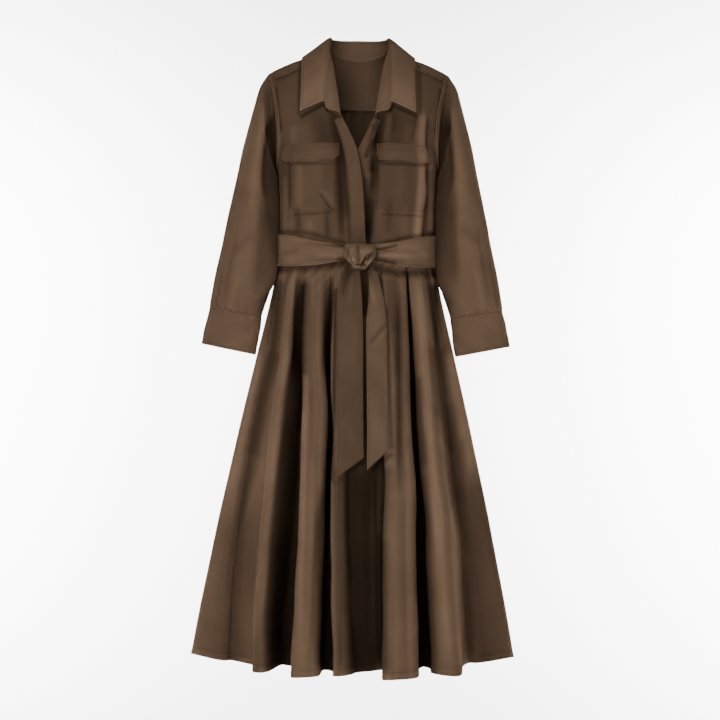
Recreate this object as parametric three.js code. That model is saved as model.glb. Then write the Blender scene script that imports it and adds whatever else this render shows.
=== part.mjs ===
// Shirt dress with a tie belt, filled out as when worn, with every cut piece as its own thin solid.
// Millimetres, +Z up. X runs to the viewer's right and the front faces -Y.
// The origin is on the centre line at the height of the shoulders' neck end.
import * as THREE from 'three';

// Driving dimensions
const WALL = 1.6;               // main cloth with its folded seams
const LAYER = 1.3;              // cloth that lies on a panel
const SEAM_GAP = 0.3;           // clear space between neighbouring pieces
const WAIST_Z = -400;
const HEM_Z = -1250;
const WAIST_HALF = 162;
const SECTION_POWER = 2.3;      // roundness of the level sections, 2 is an ellipse
const SHOULDER_ROUND = 110;     // height over which front and back round over into the shoulder
const YOKE_BACK_Z = -78;        // the yoke's back seam
const PATCH_GAP = 0.7;          // flat layers keep this much from the curved panel under them
const FRONT_TOP = { inner: 60, outer: 184 };   // ends of the front yoke seam
const BUTTON_BAND_TOP = -127;   // where the front edges meet the collar stand
const V_POINT = -200;           // where the open neck closes

// Sections of the bodice: half width of the whole section, and how far front and back reach
const BODICE = [
  { z: -400, half: 162, front: 90, back: 82 },
  { z: -330, half: 164, front: 99, back: 88 },
  { z: -232, half: 168, front: 112, back: 95 },
  { z: -150, half: 184, front: 105, back: 98 },
  { z: -90, half: 192, front: 98, back: 96 },
  { z: 40, half: 200, front: 90, back: 90 },
];

// Height of the shoulder line
const SHOULDER = [
  { x: 0, z: 30 },
  { x: 40, z: 27 },
  { x: 64, z: 20 },
  { x: 114, z: 3 },
  { x: 145, z: -8 },
  { x: 176, z: -22 },
  { x: 189, z: -30 },
];

// Neckline of each front, from the yoke seam down to the band
const NECKLINE = [
  { z: -127, x: 35 },
  { z: -90, x: 40 },
  { z: -55, x: 46 },
  { z: -20, x: 52 },
  { z: 5, x: 58 },
  { z: 20, x: 64 },
];

// Neckline of the yoke from the middle of the back round to the front seam.
// at is the share of the way to the collar's front end.
const YOKE_NECK = [
  { at: 0, x: 0, y: 50 },
  { at: 0.12, x: 24, y: 46 },
  { at: 0.22, x: 42, y: 37 },
  { at: 0.31, x: 54, y: 24 },
  { at: 0.4, x: 60, y: 4 },
  { at: 0.47, x: 60.5, y: -22 },
  { at: 0.53, x: 60, y: -48 },
];

// The yoke's front seam: how far it lies in front of the shoulder line
const YOKE_FRONT_SEAM = [
  { x: 60, y: 48 },
  { x: 119, y: 48 },
  { x: 150, y: 41 },
  { x: 168, y: 31 },
  { x: 184, y: 18 },
];

// Front edges of the two fronts below the neckline: the upper one laps over the other
const UPPER_EDGE = [
  { z: -400, x: 19 },
  { z: -320, x: 14 },
  { z: -264, x: 10 },
  { z: -200, x: -1 },
  { z: -160, x: -18 },
  { z: -127, x: -35 },
];
const UNDER_EDGE = [
  { z: -400, x: -13 },
  { z: -264, x: -11 },
  { z: -215, x: -5 },
  { z: -200, x: 1.5 },
  { z: -160, x: 20 },
  { z: -127, x: 35 },
];

// Soft folds of the fronts: x and z of the middle, sideways lean per mm of height,
// half width, half length and depth
const FRONT_FOLDS = [
  { x: -33, z: -230, lean: -0.13, wide: 8, long: 120, deep: 3 },
  { x: 38, z: -250, lean: 0.12, wide: 9, long: 120, deep: 4 },
  { x: -90, z: -372, lean: 0, wide: 13, long: 34, deep: 3 },
  { x: -128, z: -372, lean: 0, wide: 11, long: 34, deep: 3 },
  { x: 92, z: -372, lean: 0, wide: 13, long: 34, deep: 3 },
  { x: 132, z: -372, lean: 0, wide: 11, long: 34, deep: 3 },
];

// Flaps and pockets, measured on the front
const FLAP = { inner: 37, outer: 151, top: -187, bottom: -223, chamfer: 12 };
const POCKET = { inner: 44, outer: 137, top: -215, bottom: -325, chamfer: 14 };

// Sleeve rings from the armhole to the cuff seam: the outer point, the inner point and the half depth
const SLEEVE = [
  { outX: 189, outZ: -31, inX: 168.3, inZ: -232, deep: 0 },
  { outX: 204, outZ: -54, inX: 172, inZ: -250, deep: 60 },
  { outX: 214, outZ: -90, inX: 174, inZ: -275, deep: 65 },
  { outX: 226, outZ: -135, inX: 174.5, inZ: -300, deep: 66 },
  { outX: 238, outZ: -182, inX: 174.5, inZ: -330, deep: 64 },
  { outX: 249, outZ: -232, inX: 174, inZ: -362, deep: 60 },
  { outX: 260, outZ: -283, inX: 174, inZ: -400, deep: 56 },
  { outX: 271, outZ: -335, inX: 177, inZ: -440, deep: 51 },
  { outX: 282, outZ: -392, inX: 183, inZ: -475, deep: 47 },
  { outX: 295, outZ: -452, inX: 190.5, inZ: -508, deep: 42 },
  { outX: 304, outZ: -506, inX: 197, inZ: -529, deep: 34 },
  { outX: 305, outZ: -519.3, inX: 199, inZ: -537.3, deep: 28 },
];
const ARMHOLE_HOLLOW = 13;      // how far the armhole's front and back edges curve in
const CUFF = [
  { outX: 305, outZ: -520.5, inX: 199, inZ: -538.5, deep: 27 },
  { outX: 311, outZ: -546, inX: 202, inZ: -565, deep: 26 },
  { outX: 317, outZ: -572, inX: 206, inZ: -592, deep: 25 },
  { outX: 322, outZ: -597, inX: 211, inZ: -619, deep: 24 },
];
const CUFF_FORWARD = 14;        // the sleeves hang a little forward at the cuff

// Half width of the skirt, and how far its mean section reaches in front and behind.
// fold is the share of each fold's full depth that is open at that height.
const SKIRT = [
  { z: -1250, half: 339, front: 152, back: 165, fold: 1 },
  { z: -1150, half: 321, front: 145, back: 156, fold: 0.95 },
  { z: -1050, half: 301, front: 138, back: 147, fold: 0.89 },
  { z: -950, half: 281, front: 131, back: 138, fold: 0.82 },
  { z: -850, half: 259, front: 124, back: 128, fold: 0.74 },
  { z: -750, half: 237, front: 117, back: 119, fold: 0.64 },
  { z: -660, half: 216, front: 110, back: 110, fold: 0.53 },
  { z: -580, half: 197, front: 104, back: 102, fold: 0.42 },
  { z: -520, half: 182.5, front: 99, back: 95, fold: 0.31 },
  { z: -470, half: 172, front: 96, back: 90, fold: 0.19 },
  { z: -437, half: 164.5, front: 93, back: 85.5, fold: 0.05 },
  { z: -400, half: 162, front: 90, back: 82, fold: 0.02 },
];
const SKIRT_MIDDLE_Z = -840;

// Folds of the skirt: x of the crown at waist, middle and hem, half width at waist and hem,
// and how far the left side, crown and right side reach from y = 0 at the hem
const SKIRT_FRONT_FOLDS = [
  { waist: -155, middle: -232, hem: -268, halfWaist: 3, half: 22, left: 50, crown: 74, right: 92 },
  { waist: -143, middle: -182, hem: -186, halfWaist: 4, half: 14, left: 165, crown: 178, right: 178 },
  { waist: -119, middle: -121, hem: -140, halfWaist: 5, half: 11, left: 100, crown: 84, right: 80 },
  { waist: -98, middle: -98, hem: -95, halfWaist: 6, half: 19, left: 170, crown: 218, right: 206 },
  { waist: -58, middle: -55, hem: -58, halfWaist: 4, half: 7, left: 188, crown: 176, right: 188 },
  { waist: -38, middle: -29, hem: -27, halfWaist: 7, half: 16, left: 198, crown: 196, right: 180 },
  { waist: 12, middle: 22, hem: 24, halfWaist: 16, half: 19, left: 120, crown: 106, right: 122 },
  { waist: 75, middle: 86, hem: 91, halfWaist: 12, half: 23, left: 229, crown: 227, right: 200 },
  { waist: 105, middle: 123, hem: 146, halfWaist: 6, half: 17, left: 150, crown: 106, right: 105 },
  { waist: 130, middle: 165, hem: 186, halfWaist: 5, half: 13, left: 162, crown: 188, right: 172 },
  { waist: 149, middle: 197, hem: 240, halfWaist: 3, half: 26, left: 104, crown: 72, right: 69 },
  { waist: 157, middle: 238, hem: 303, halfWaist: 2, half: 14, left: 52, crown: 42, right: 32 },
];
const SKIRT_BACK_FOLDS = [
  { waist: 154, middle: 228, hem: 282, halfWaist: 3, half: 20, left: 60, crown: 78, right: 96 },
  { waist: 136, middle: 178, hem: 214, halfWaist: 5, half: 17, left: 176, crown: 186, right: 170 },
  { waist: 108, middle: 134, hem: 156, halfWaist: 6, half: 15, left: 116, crown: 104, right: 112 },
  { waist: 76, middle: 88, hem: 98, halfWaist: 10, half: 22, left: 204, crown: 218, right: 200 },
  { waist: 36, middle: 40, hem: 44, halfWaist: 8, half: 14, left: 132, crown: 118, right: 134 },
  { waist: -4, middle: -6, hem: -8, halfWaist: 12, half: 20, left: 206, crown: 216, right: 202 },
  { waist: -50, middle: -58, hem: -64, halfWaist: 9, half: 15, left: 140, crown: 122, right: 130 },
  { waist: -90, middle: -108, hem: -122, halfWaist: 9, half: 21, left: 198, crown: 212, right: 190 },
  { waist: -122, middle: -158, hem: -184, halfWaist: 5, half: 15, left: 118, crown: 100, right: 104 },
  { waist: -142, middle: -200, hem: -236, halfWaist: 4, half: 16, left: 150, crown: 152, right: 128 },
  { waist: -156, middle: -240, hem: -298, halfWaist: 2, half: 14, left: 66, crown: 54, right: 40 },
];
const SKIRT_STEPS = 2;          // wall columns between two points of the plan

// The belt's edges from the middle of the front round to the middle of the back
const BELT = [
  { x: 0, top: -394, bottom: -421 },
  { x: 30, top: -391, bottom: -427 },
  { x: 70, top: -385, bottom: -434 },
  { x: 120, top: -374, bottom: -436 },
  { x: 162, top: -367, bottom: -433 },
];
const BELT_OUT = { top: 5.5, bottom: 9.5, side: 6.5 };   // the belt stands off the gathered seam
const BELT_THICK = 2;

const KNOT = { x: 8, y: -118.8, z: -419, halfWide: 32, halfHigh: 27, halfDeep: 17 };
const TAIL_THICK = 2.4;
// Tails of the belt: left and right edge at each height, and how far they lie in front
const TAIL_RIGHT = [
  { z: -446.6, left: -10, right: 6, out: 117 },
  { z: -462, left: -25, right: 9, out: 122 },
  { z: -506, left: -38, right: 11, out: 130 },
  { z: -580, left: -37, right: 14, out: 139 },
  { z: -680, left: -36, right: 16, out: 150 },
  { z: -780, left: -35, right: 18, out: 160 },
  { z: -862, left: -34, right: 20, out: 167 },
];
const TAIL_LEFT = [
  { z: -446.6, left: 12, right: 34, out: 117 },
  { z: -470, left: 15, right: 48, out: 125 },
  { z: -510, left: 16, right: 56, out: 134 },
  { z: -550, left: 21, right: 61, out: 141 },
  { z: -640, left: 23, right: 64, out: 156 },
  { z: -740, left: 25, right: 66, out: 171 },
  { z: -845, left: 26, right: 68, out: 186 },
];
const TAIL_SLANT = 40;          // how much the outer corner of a tail's end is cut away

const COLOURS = {
  cloth: 0x5f4a3a,
  cloth_light: 0x6a5442,
  cloth_dark: 0x4e3d2f,
};

// Value of one column of a table at a place along its key column, on a smooth curve
function follow(rows, key, column, at) {
  const last = rows.length - 1;
  const rising = rows[last][key] > rows[0][key];
  const before = (row) => (rising ? row[key] <= at : row[key] >= at);
  let k = 0;
  while (k < last - 1 && before(rows[k + 1])) k += 1;
  const slope = (i) => {
    const a = rows[Math.max(i - 1, 0)];
    const b = rows[Math.min(i + 1, last)];
    return (b[column] - a[column]) / (b[key] - a[key]);
  };
  const span = rows[k + 1][key] - rows[k][key];
  const t = THREE.MathUtils.clamp((at - rows[k][key]) / span, 0, 1);
  const t2 = t * t;
  const t3 = t2 * t;
  return rows[k][column] * (2 * t3 - 3 * t2 + 1) + rows[k + 1][column] * (3 * t2 - 2 * t3)
    + slope(k) * span * (t3 - 2 * t2 + t) + slope(k + 1) * span * (t3 - t2);
}

const mix = THREE.MathUtils.lerp;

// Depth share of a level section at a share of its half width
function roundness(share) {
  const s = Math.min(Math.abs(share), 1);
  return (1 - s ** SECTION_POWER) ** (1 / SECTION_POWER);
}

// The same section by its angle, 0 in the middle and a quarter turn at the side
function sectionAt(angle) {
  const power = 2 / SECTION_POWER;
  return {
    across: Math.sign(angle) * Math.abs(Math.sin(angle)) ** power,
    deep: Math.max(Math.cos(angle), 0) ** power,
  };
}

function angleOf(share) {
  const s = Math.min(Math.abs(share), 1);
  return Math.sign(share) * Math.asin(s ** (SECTION_POWER / 2));
}

const SHOULDER_END = SHOULDER[SHOULDER.length - 1].x;
const shoulderHeight = (x) => follow(SHOULDER, 'x', 'z', Math.min(Math.abs(x), SHOULDER_END));

// Reach of the bodice at a place: face is 'front' or 'back'
function bodiceReach(x, z, face) {
  const half = follow(BODICE, 'z', 'half', z);
  const drop = shoulderHeight(x) - z;
  const rise = THREE.MathUtils.clamp(1 - drop / SHOULDER_ROUND, 0, 1);
  return follow(BODICE, 'z', face, z) * roundness(x / half) * Math.sqrt(1 - rise * rise);
}

// Height on the shoulder's rounding where the bodice reaches a given depth
function heightAtReach(x, reach, face) {
  let z = shoulderHeight(x);
  for (let pass = 0; pass < 6; pass += 1) {
    const half = follow(BODICE, 'z', 'half', z);
    const full = follow(BODICE, 'z', face, z) * roundness(x / half);
    const share = Math.min(reach / full, 1);
    z = shoulderHeight(x) - SHOULDER_ROUND * (1 - Math.sqrt(1 - share * share));
  }
  return z;
}

// Depth of the soft folds of the fronts
function frontFold(x, z) {
  let depth = 0;
  for (const fold of FRONT_FOLDS) {
    const across = (x - fold.x - fold.lean * (z - fold.z)) / fold.wide;
    const along = (z - fold.z) / fold.long;
    depth += fold.deep * Math.exp(-across * across - along * along);
  }
  return depth;
}

// Gathers of the back: how far they reach from the yoke and from the waist, and how deep they are
const YOKE_GATHERS = { down: 90, wide: 70, deep: 2.5 };
const WAIST_GATHERS = { up: 80, wide: 150, deep: 2 };
const GATHER_PITCH = 5.2;

function backFold(x, z) {
  const below = (z - YOKE_BACK_Z) / YOKE_GATHERS.down;
  const above = (z - WAIST_Z) / WAIST_GATHERS.up;
  const beside = x / YOKE_GATHERS.wide;
  const underYoke = YOKE_GATHERS.deep * Math.exp(-below * below - beside * beside);
  const aboveWaist = WAIST_GATHERS.deep * Math.exp(-above * above);
  const clearOfSides = Math.max(1 - (x / WAIST_GATHERS.wide) ** 2, 0);
  return (underYoke + aboveWaist) * clearOfSides * Math.sin(x / GATHER_PITCH);
}

function bodicePoint(x, z, face, foldShare = 1) {
  const reach = bodiceReach(x, z, face);
  if (face === 'front') return new THREE.Vector3(x, -reach + foldShare * frontFold(x, z), z);
  return new THREE.Vector3(x, reach - foldShare * backFold(x, z), z);
}

// The armhole's edge: turn 0 is the shoulder, a quarter turn the front edge, a half turn the underarm
function armholePoint(turn) {
  const top = SLEEVE[0];
  const up = Math.cos(turn);
  const x = (top.outX + top.inX) / 2 + up * (top.outX - top.inX) / 2
    - ARMHOLE_HOLLOW * Math.sin(turn) ** 2;
  const z = (top.outZ + top.inZ) / 2 + up * (top.outZ - top.inZ) / 2;
  const face = Math.sin(turn) >= 0 ? 'front' : 'back';
  const reach = bodiceReach(x, z, face);
  return new THREE.Vector3(x, face === 'front' ? -reach : reach, z);
}

function armholeX(z) {
  const top = SLEEVE[0];
  const up = THREE.MathUtils.clamp((z - (top.outZ + top.inZ) / 2) / ((top.outZ - top.inZ) / 2), -1, 1);
  return (top.outX + top.inX) / 2 + up * (top.outX - top.inX) / 2 - ARMHOLE_HOLLOW * (1 - up * up);
}

// Outer edge of a bodice panel: the side seam, and above it the armhole
function panelSideX(z) {
  if (z <= SLEEVE[0].inZ) return follow(BODICE, 'z', 'half', z);
  return armholeX(z);
}

// A closed wall from an inner and an outer grid of points, rows of columns
function wallGeometry(inner, outer, closed) {
  const rows = inner.length;
  const columns = inner[0].length;
  const positions = [];
  for (const grid of [inner, outer]) {
    for (const row of grid) for (const point of row) positions.push(point.x, point.y, point.z);
  }
  const faces = [];
  const quad = (a, b, c, d) => faces.push(a, b, c, a, c, d);
  const id = (side, j, i) => side * rows * columns + j * columns + (i % columns);
  const spans = closed ? columns : columns - 1;
  for (let j = 0; j < rows - 1; j += 1) {
    for (let i = 0; i < spans; i += 1) {
      quad(id(1, j, i), id(1, j, i + 1), id(1, j + 1, i + 1), id(1, j + 1, i));
      quad(id(0, j, i), id(0, j + 1, i), id(0, j + 1, i + 1), id(0, j, i + 1));
    }
  }
  for (let i = 0; i < spans; i += 1) {
    quad(id(0, 0, i), id(0, 0, i + 1), id(1, 0, i + 1), id(1, 0, i));
    const end = rows - 1;
    quad(id(0, end, i + 1), id(0, end, i), id(1, end, i), id(1, end, i + 1));
  }
  if (!closed) {
    for (let j = 0; j < rows - 1; j += 1) {
      quad(id(0, j + 1, 0), id(0, j, 0), id(1, j, 0), id(1, j + 1, 0));
      const end = columns - 1;
      quad(id(0, j, end), id(0, j + 1, end), id(1, j + 1, end), id(1, j, end));
    }
  }
  const geometry = new THREE.BufferGeometry();
  geometry.setAttribute('position', new THREE.Float32BufferAttribute(positions, 3));
  geometry.setIndex(signedVolume(positions, faces) < 0 ? faces.reverse() : faces);
  geometry.computeVertexNormals();
  return geometry;
}

function signedVolume(positions, faces) {
  const corner = (n) => new THREE.Vector3().fromArray(positions, 3 * n);
  let volume = 0;
  for (let f = 0; f < faces.length; f += 3) {
    volume += corner(faces[f]).dot(corner(faces[f + 1]).cross(corner(faces[f + 2])));
  }
  return volume;
}

// A grid moved along its normals. away gives a direction that points out of the garment.
function moved(grid, distance, away, closed) {
  const rows = grid.length;
  const columns = grid[0].length;
  const normals = grid.map((row, j) => row.map((point, i) => {
    const left = closed ? row[(i + columns - 1) % columns] : row[Math.max(i - 1, 0)];
    const right = closed ? row[(i + 1) % columns] : row[Math.min(i + 1, columns - 1)];
    const below = grid[Math.max(j - 1, 0)][i];
    const above = grid[Math.min(j + 1, rows - 1)][i];
    const normal = right.clone().sub(left).cross(above.clone().sub(below)).normalize();
    return { point, normal };
  }));
  const facing = normals.flat().reduce((sum, { point, normal }) => sum + normal.dot(away(point)), 0);
  const sense = Math.sign(facing) * distance;
  return normals.map((row) => row.map(({ point, normal }) => point.clone().addScaledVector(normal, sense)));
}

const NORMAL_STEP = 0.4;

// Normals of a surface given by two numbers, at each pair of a grid
function normalsOn(surface, pairs, away) {
  const step = NORMAL_STEP;
  return pairs.map((row) => row.map(([u, v]) => {
    const alongU = surface(u + step, v).sub(surface(u - step, v));
    const alongV = surface(u, v + step).sub(surface(u, v - step));
    const normal = alongU.cross(alongV).normalize();
    if (normal.dot(away(surface(u, v))) < 0) normal.negate();
    return normal;
  }));
}

// A wall that stands on a grid of points, from one distance along their normals to another
function wallOn(name, points, normals, lift, thick, colour = COLOURS.cloth) {
  const out = (distance) => points.map((row, j) => row.map((point, i) => (
    point.clone().addScaledVector(normals[j][i], distance)
  )));
  return cloth(name, wallGeometry(out(lift), out(lift + thick), false), colour);
}

const fromAxis = (point) => new THREE.Vector3(point.x, point.y, 0);
const forwards = () => new THREE.Vector3(0, -1, 0);
const UPWARDS = 120;            // upward share of the outward direction over the shoulders
const upAndOut = (point) => new THREE.Vector3(0, point.y, UPWARDS);

function cloth(name, geometry, colour = COLOURS.cloth) {
  const material = new THREE.MeshStandardMaterial({ color: colour, roughness: 0.78, metalness: 0 });
  const mesh = new THREE.Mesh(geometry, material);
  mesh.name = name;
  return mesh;
}

// A wall whose inner face is the grid moved out by lift
function layer(name, grid, lift, thick, away, closed = false, colour = COLOURS.cloth) {
  const inner = moved(grid, lift, away, closed);
  const outer = moved(grid, lift + thick, away, closed);
  return cloth(name, wallGeometry(inner, outer, closed), colour);
}

// The under front tucks in behind the upper one: how deep, how far past its edge,
// and from how far above the V point to how far below it
const TUCK = { deep: 5.4, near: 2, far: 26, above: 25, below: 5 };

function tuck(x, z) {
  const edge = follow(UPPER_EDGE, 'z', 'x', z);
  const closedShare = THREE.MathUtils.smoothstep(V_POINT - z, -TUCK.above, TUCK.below);
  return TUCK.deep * closedShare * (1 - THREE.MathUtils.smoothstep(x, edge + TUCK.near, edge + TUCK.far));
}

const frontSeamHeight = (x) => {
  const place = THREE.MathUtils.clamp(x, FRONT_TOP.inner, FRONT_TOP.outer);
  return heightAtReach(x, follow(YOKE_FRONT_SEAM, 'x', 'y', place), 'front');
};

const toDegrees = THREE.MathUtils.radToDeg;
const halfWidth = (z) => follow(BODICE, 'z', 'half', z);
const degreesAt = (x, z) => toDegrees(angleOf(x / halfWidth(z)));

// A front or the back by the angle round its level section, in degrees, and the height.
// A patch bridges the soft folds, so it has none.
function frontSurface(side, foldShare = 1) {
  return (degrees, z) => {
    const x = halfWidth(z) * sectionAt(THREE.MathUtils.degToRad(degrees)).across;
    const point = bodicePoint(x, z, 'front', foldShare);
    point.y -= SEAM_GAP / 2;
    if (side > 0) point.y += tuck(x, z);
    return point;
  };
}

function backSurface(degrees, z) {
  const x = halfWidth(z) * sectionAt(THREE.MathUtils.degToRad(degrees)).across;
  const point = bodicePoint(x, z, 'back');
  point.y += SEAM_GAP / 2;
  return point;
}

// Points and normals of a surface at a grid of number pairs
function panelOn(surface, pairs, away) {
  return {
    points: pairs.map((row) => row.map(([u, v]) => surface(u, v))),
    normals: normalsOn(surface, pairs, away),
  };
}

const FRONT_ROWS = [0, 0.07, 0.155, 0.24, 0.33, 0.348, 0.395, 0.46, 0.5343, 0.62, 0.71, 0.8, 0.9, 1];
const BAND_TOP_ROW = 5;
const BAND_COLUMNS = 3;
const FRONT_COLUMNS = 10;       // beyond the band and the soft fold beside it
const BESIDE_BAND = [9, 19];    // the middle of the fold beside the band, and its far side
// Where the yoke seam curves down to the armhole, the two pieces need more room between them
const TIGHT_CURVE = { from: 150, gap: 5 * SEAM_GAP };

// One front, from its opening edge out to the armhole and the side. side is -1 at the viewer's left.
function makeFrontPanel(side, edgeTable, bandTable) {
  const seamIn = frontSeamHeight(FRONT_TOP.inner) - SEAM_GAP;
  const seamOut = frontSeamHeight(FRONT_TOP.outer) - SEAM_GAP;
  const pairs = FRONT_ROWS.map((share) => {
    const floor = WAIST_Z + SEAM_GAP / 2;
    const zIn = mix(seamIn, floor, share);
    const zOut = mix(seamOut, floor, share);
    const underNeck = zIn < BUTTON_BAND_TOP;
    const edge = underNeck ? follow(edgeTable, 'z', 'x', zIn) : side * follow(NECKLINE, 'z', 'x', zIn);
    const band = follow(bandTable, 'z', 'wide', Math.min(zIn, BUTTON_BAND_TOP));
    const inner = [0, band / 2, band, band + BESIDE_BAND[0], band + BESIDE_BAND[1]];
    const angles = inner.map((step) => degreesAt(edge + side * step, zIn));
    const first = angles[0];
    const start = angles[angles.length - 1];
    const end = side * degreesAt(panelSideX(zOut), zOut);
    for (let i = 1; i <= FRONT_COLUMNS; i += 1) angles.push(mix(start, end, i / FRONT_COLUMNS));
    return angles.map((degrees) => {
      const level = mix(zIn, zOut, (degrees - first) / (end - first));
      if (share > 0) return [degrees, level];
      const x = Math.abs(frontSurface(side)(degrees, level).x);
      const tightCurve = THREE.MathUtils.smoothstep(x, TIGHT_CURVE.from, FRONT_TOP.outer);
      const z = frontSeamHeight(x) - SEAM_GAP - TIGHT_CURVE.gap * tightCurve;
      return [side * degreesAt(x, z), z];
    });
  });
  return panelOn(frontSurface(side), pairs, fromAxis);
}

const UPPER_BAND = [
  { z: -400, wide: 29 },
  { z: -200, wide: 25 },
  { z: -127, wide: 16 },
];
const UNDER_BAND = [
  { z: -400, wide: 22 },
  { z: -200, wide: 21 },
  { z: -127, wide: 14 },
];

function makeFronts() {
  const right = makeFrontPanel(-1, UPPER_EDGE, UPPER_BAND);
  const left = makeFrontPanel(1, UNDER_EDGE, UNDER_BAND);
  const band = (rows) => rows.slice(BAND_TOP_ROW).map((row) => row.slice(0, BAND_COLUMNS));
  const lift = WALL + SEAM_GAP;
  return [
    wallOn('front_right', right.points, right.normals, 0, WALL),
    wallOn('front_left', left.points, left.normals, 0, WALL),
    wallOn('placket_right', band(right.points), band(right.normals), lift, LAYER),
    wallOn('placket_left', band(left.points), band(left.normals), lift, LAYER),
  ];
}

const BACK_ROWS = [0, 0.08, 0.17, 0.27, 0.37, 0.478, 0.6, 0.72, 0.85, 1];
const BACK_COLUMNS = 26;

function makeBack() {
  const pairs = BACK_ROWS.map((share) => {
    const z = mix(YOKE_BACK_Z - SEAM_GAP, WAIST_Z + SEAM_GAP / 2, share);
    const side = degreesAt(panelSideX(z), z);
    const row = [];
    for (let i = 0; i <= BACK_COLUMNS; i += 1) row.push([mix(-side, side, i / BACK_COLUMNS), z]);
    return row;
  });
  const back = panelOn(backSurface, pairs, fromAxis);
  return wallOn('back', back.points, back.normals, 0, WALL);
}

const YOKE_COLUMNS = [186, 176, 161, 143, 124, 105, 88, 74, 66, 61, 56, 46, 32, 16];
const YOKE_ROWS = 9;

// The yoke by x and its turn over the shoulder in degrees: 0 on top, negative in front
function yokeSurface(x, degrees) {
  const turn = THREE.MathUtils.degToRad(degrees);
  const face = turn < 0 ? 'front' : 'back';
  const z = shoulderHeight(x) - SHOULDER_ROUND * (1 - Math.cos(turn));
  const reach = follow(BODICE, 'z', face, z) * roundness(x / halfWidth(z)) * Math.sin(turn);
  return new THREE.Vector3(x, reach, z);
}

function turnAtHeight(x, z) {
  const rise = THREE.MathUtils.clamp(1 - (shoulderHeight(x) - z) / SHOULDER_ROUND, -1, 1);
  return toDegrees(Math.acos(rise));
}

// Columns near the armhole lean with its edge
function yokeX(column, z) {
  const inner = YOKE_COLUMNS[5];
  const size = Math.abs(column);
  if (size <= inner) return column;
  const share = (size - inner) / (YOKE_COLUMNS[0] - inner);
  return Math.sign(column) * mix(inner, armholeX(z), share);
}

function makeYoke() {
  const columns = [...YOKE_COLUMNS.map((x) => -x), 0, ...[...YOKE_COLUMNS].reverse()];
  const pairs = [];
  for (let j = 0; j < YOKE_ROWS; j += 1) {
    const s = j / (YOKE_ROWS - 1);
    pairs.push(columns.map((column) => {
      const size = Math.abs(column);
      const backY = follow(YOKE_NECK, 'x', 'y', Math.min(size, YOKE_NECK[4].x));
      const neckZ = heightAtReach(size, backY, 'back');
      let x = column;
      let turn = 0;
      for (let pass = 0; pass < 3; pass += 1) {
        const start = turnAtHeight(x, YOKE_BACK_Z);
        const overShoulder = size >= FRONT_TOP.inner;
        const seam = -turnAtHeight(x, frontSeamHeight(Math.abs(x)));
        const end = overShoulder ? seam : turnAtHeight(x, neckZ);
        turn = mix(start, end, s);
        x = yokeX(column, yokeSurface(x, turn).z);
      }
      return [x, turn];
    }));
  }
  const yoke = panelOn(yokeSurface, pairs, upAndOut);
  return wallOn('yoke', yoke.points, yoke.normals, 0, WALL);
}

// A flat layer on a front, its points given by x and height
function patchOn(side, rows, columns, place) {
  const pairs = [];
  for (let j = 0; j < rows; j += 1) {
    const row = [];
    for (let i = 0; i < columns; i += 1) {
      const { x, z } = place(i / (columns - 1), j / (rows - 1));
      row.push([degreesAt(side * x, z), z]);
    }
    pairs.push(row);
  }
  return panelOn(frontSurface(side, 0), pairs, forwards);
}

// Lower edge of a flap or pocket, with its corners cut off
function chamferedBottom(shape, x) {
  const fromCorner = Math.min(x - shape.inner, shape.outer - x);
  return shape.bottom + Math.max(shape.chamfer - fromCorner, 0);
}

// Columns of a patch: its two edges, the ends of its chamfers, and even steps between them
function patchX(shape, share, count) {
  const step = Math.round(share * (count - 1));
  if (step === 0) return shape.inner;
  if (step === count - 1) return shape.outer;
  return mix(shape.inner + shape.chamfer, shape.outer - shape.chamfer, (step - 1) / (count - 3));
}

function makePocket(name, side) {
  const columns = 9;
  const pocket = patchOn(side, 7, columns, (s, t) => {
    const x = patchX(POCKET, s, columns);
    return { x, z: mix(POCKET.top, chamferedBottom(POCKET, x), t) };
  });
  return wallOn(name, pocket.points, pocket.normals, WALL + PATCH_GAP, LAYER);
}

const FLAP_SPRING = 5;          // the flap's lower edge stands off the pocket
const FLAP_WAVE = { high: 1.5, pitch: 9 };

function makeFlap(name, side) {
  const columns = 10;
  const rows = 5;
  const flap = patchOn(side, rows, columns, (s, t) => {
    const x = patchX(FLAP, s, columns);
    const wave = FLAP_WAVE.high * t * Math.sin(x / FLAP_WAVE.pitch);
    return { x, z: mix(FLAP.top, chamferedBottom(FLAP, x) + wave, t) };
  });
  // Sewn to the front along its top, then over the pocket's edge and a little away from it
  flap.points.forEach((row, j) => {
    const down = j / (rows - 1);
    const overPocket = (LAYER + 2 * PATCH_GAP - SEAM_GAP) * Math.min(2 * down, 1);
    const spring = FLAP_SPRING * down ** 2;
    row.forEach((point, i) => point.addScaledVector(flap.normals[j][i], overPocket + spring));
  });
  return wallOn(name, flap.points, flap.normals, WALL + SEAM_GAP, LAYER, COLOURS.cloth_dark);
}

// Guides of the collar from the middle of the back to one front end:
// the rolled edge and the outer edge of the fall
const COLLAR = [
  { at: 0, rollX: 0, rollY: 66, rollZ: 55, edgeX: 0, edgeY: 88, edgeZ: 0 },
  { at: 0.2, rollX: 36, rollY: 57, rollZ: 54, edgeX: 53, edgeY: 79, edgeZ: -2 },
  { at: 0.35, rollX: 57, rollY: 26, rollZ: 50, edgeX: 97, edgeY: 53, edgeZ: -1 },
  { at: 0.5, rollX: 62, rollY: -6, rollZ: 46, edgeX: 117, edgeY: 3, edgeZ: 7 },
  { at: 0.65, rollX: 66, rollY: -55, rollZ: 14, edgeX: 117, edgeY: -46, edgeZ: -9 },
  { at: 0.82, rollX: 68, rollY: -98, rollZ: -44, edgeX: 116, edgeY: -88, edgeZ: -64 },
  { at: 1, rollX: 68, rollY: -106, rollZ: -101, edgeX: 118, edgeY: -101, edgeZ: -122 },
];
const COLLAR_COLUMNS = 14;      // from the middle of the back to one front end
const COLLAR_SEAM_LIFT = 1.5;   // the stand's seam above the neckline
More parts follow.
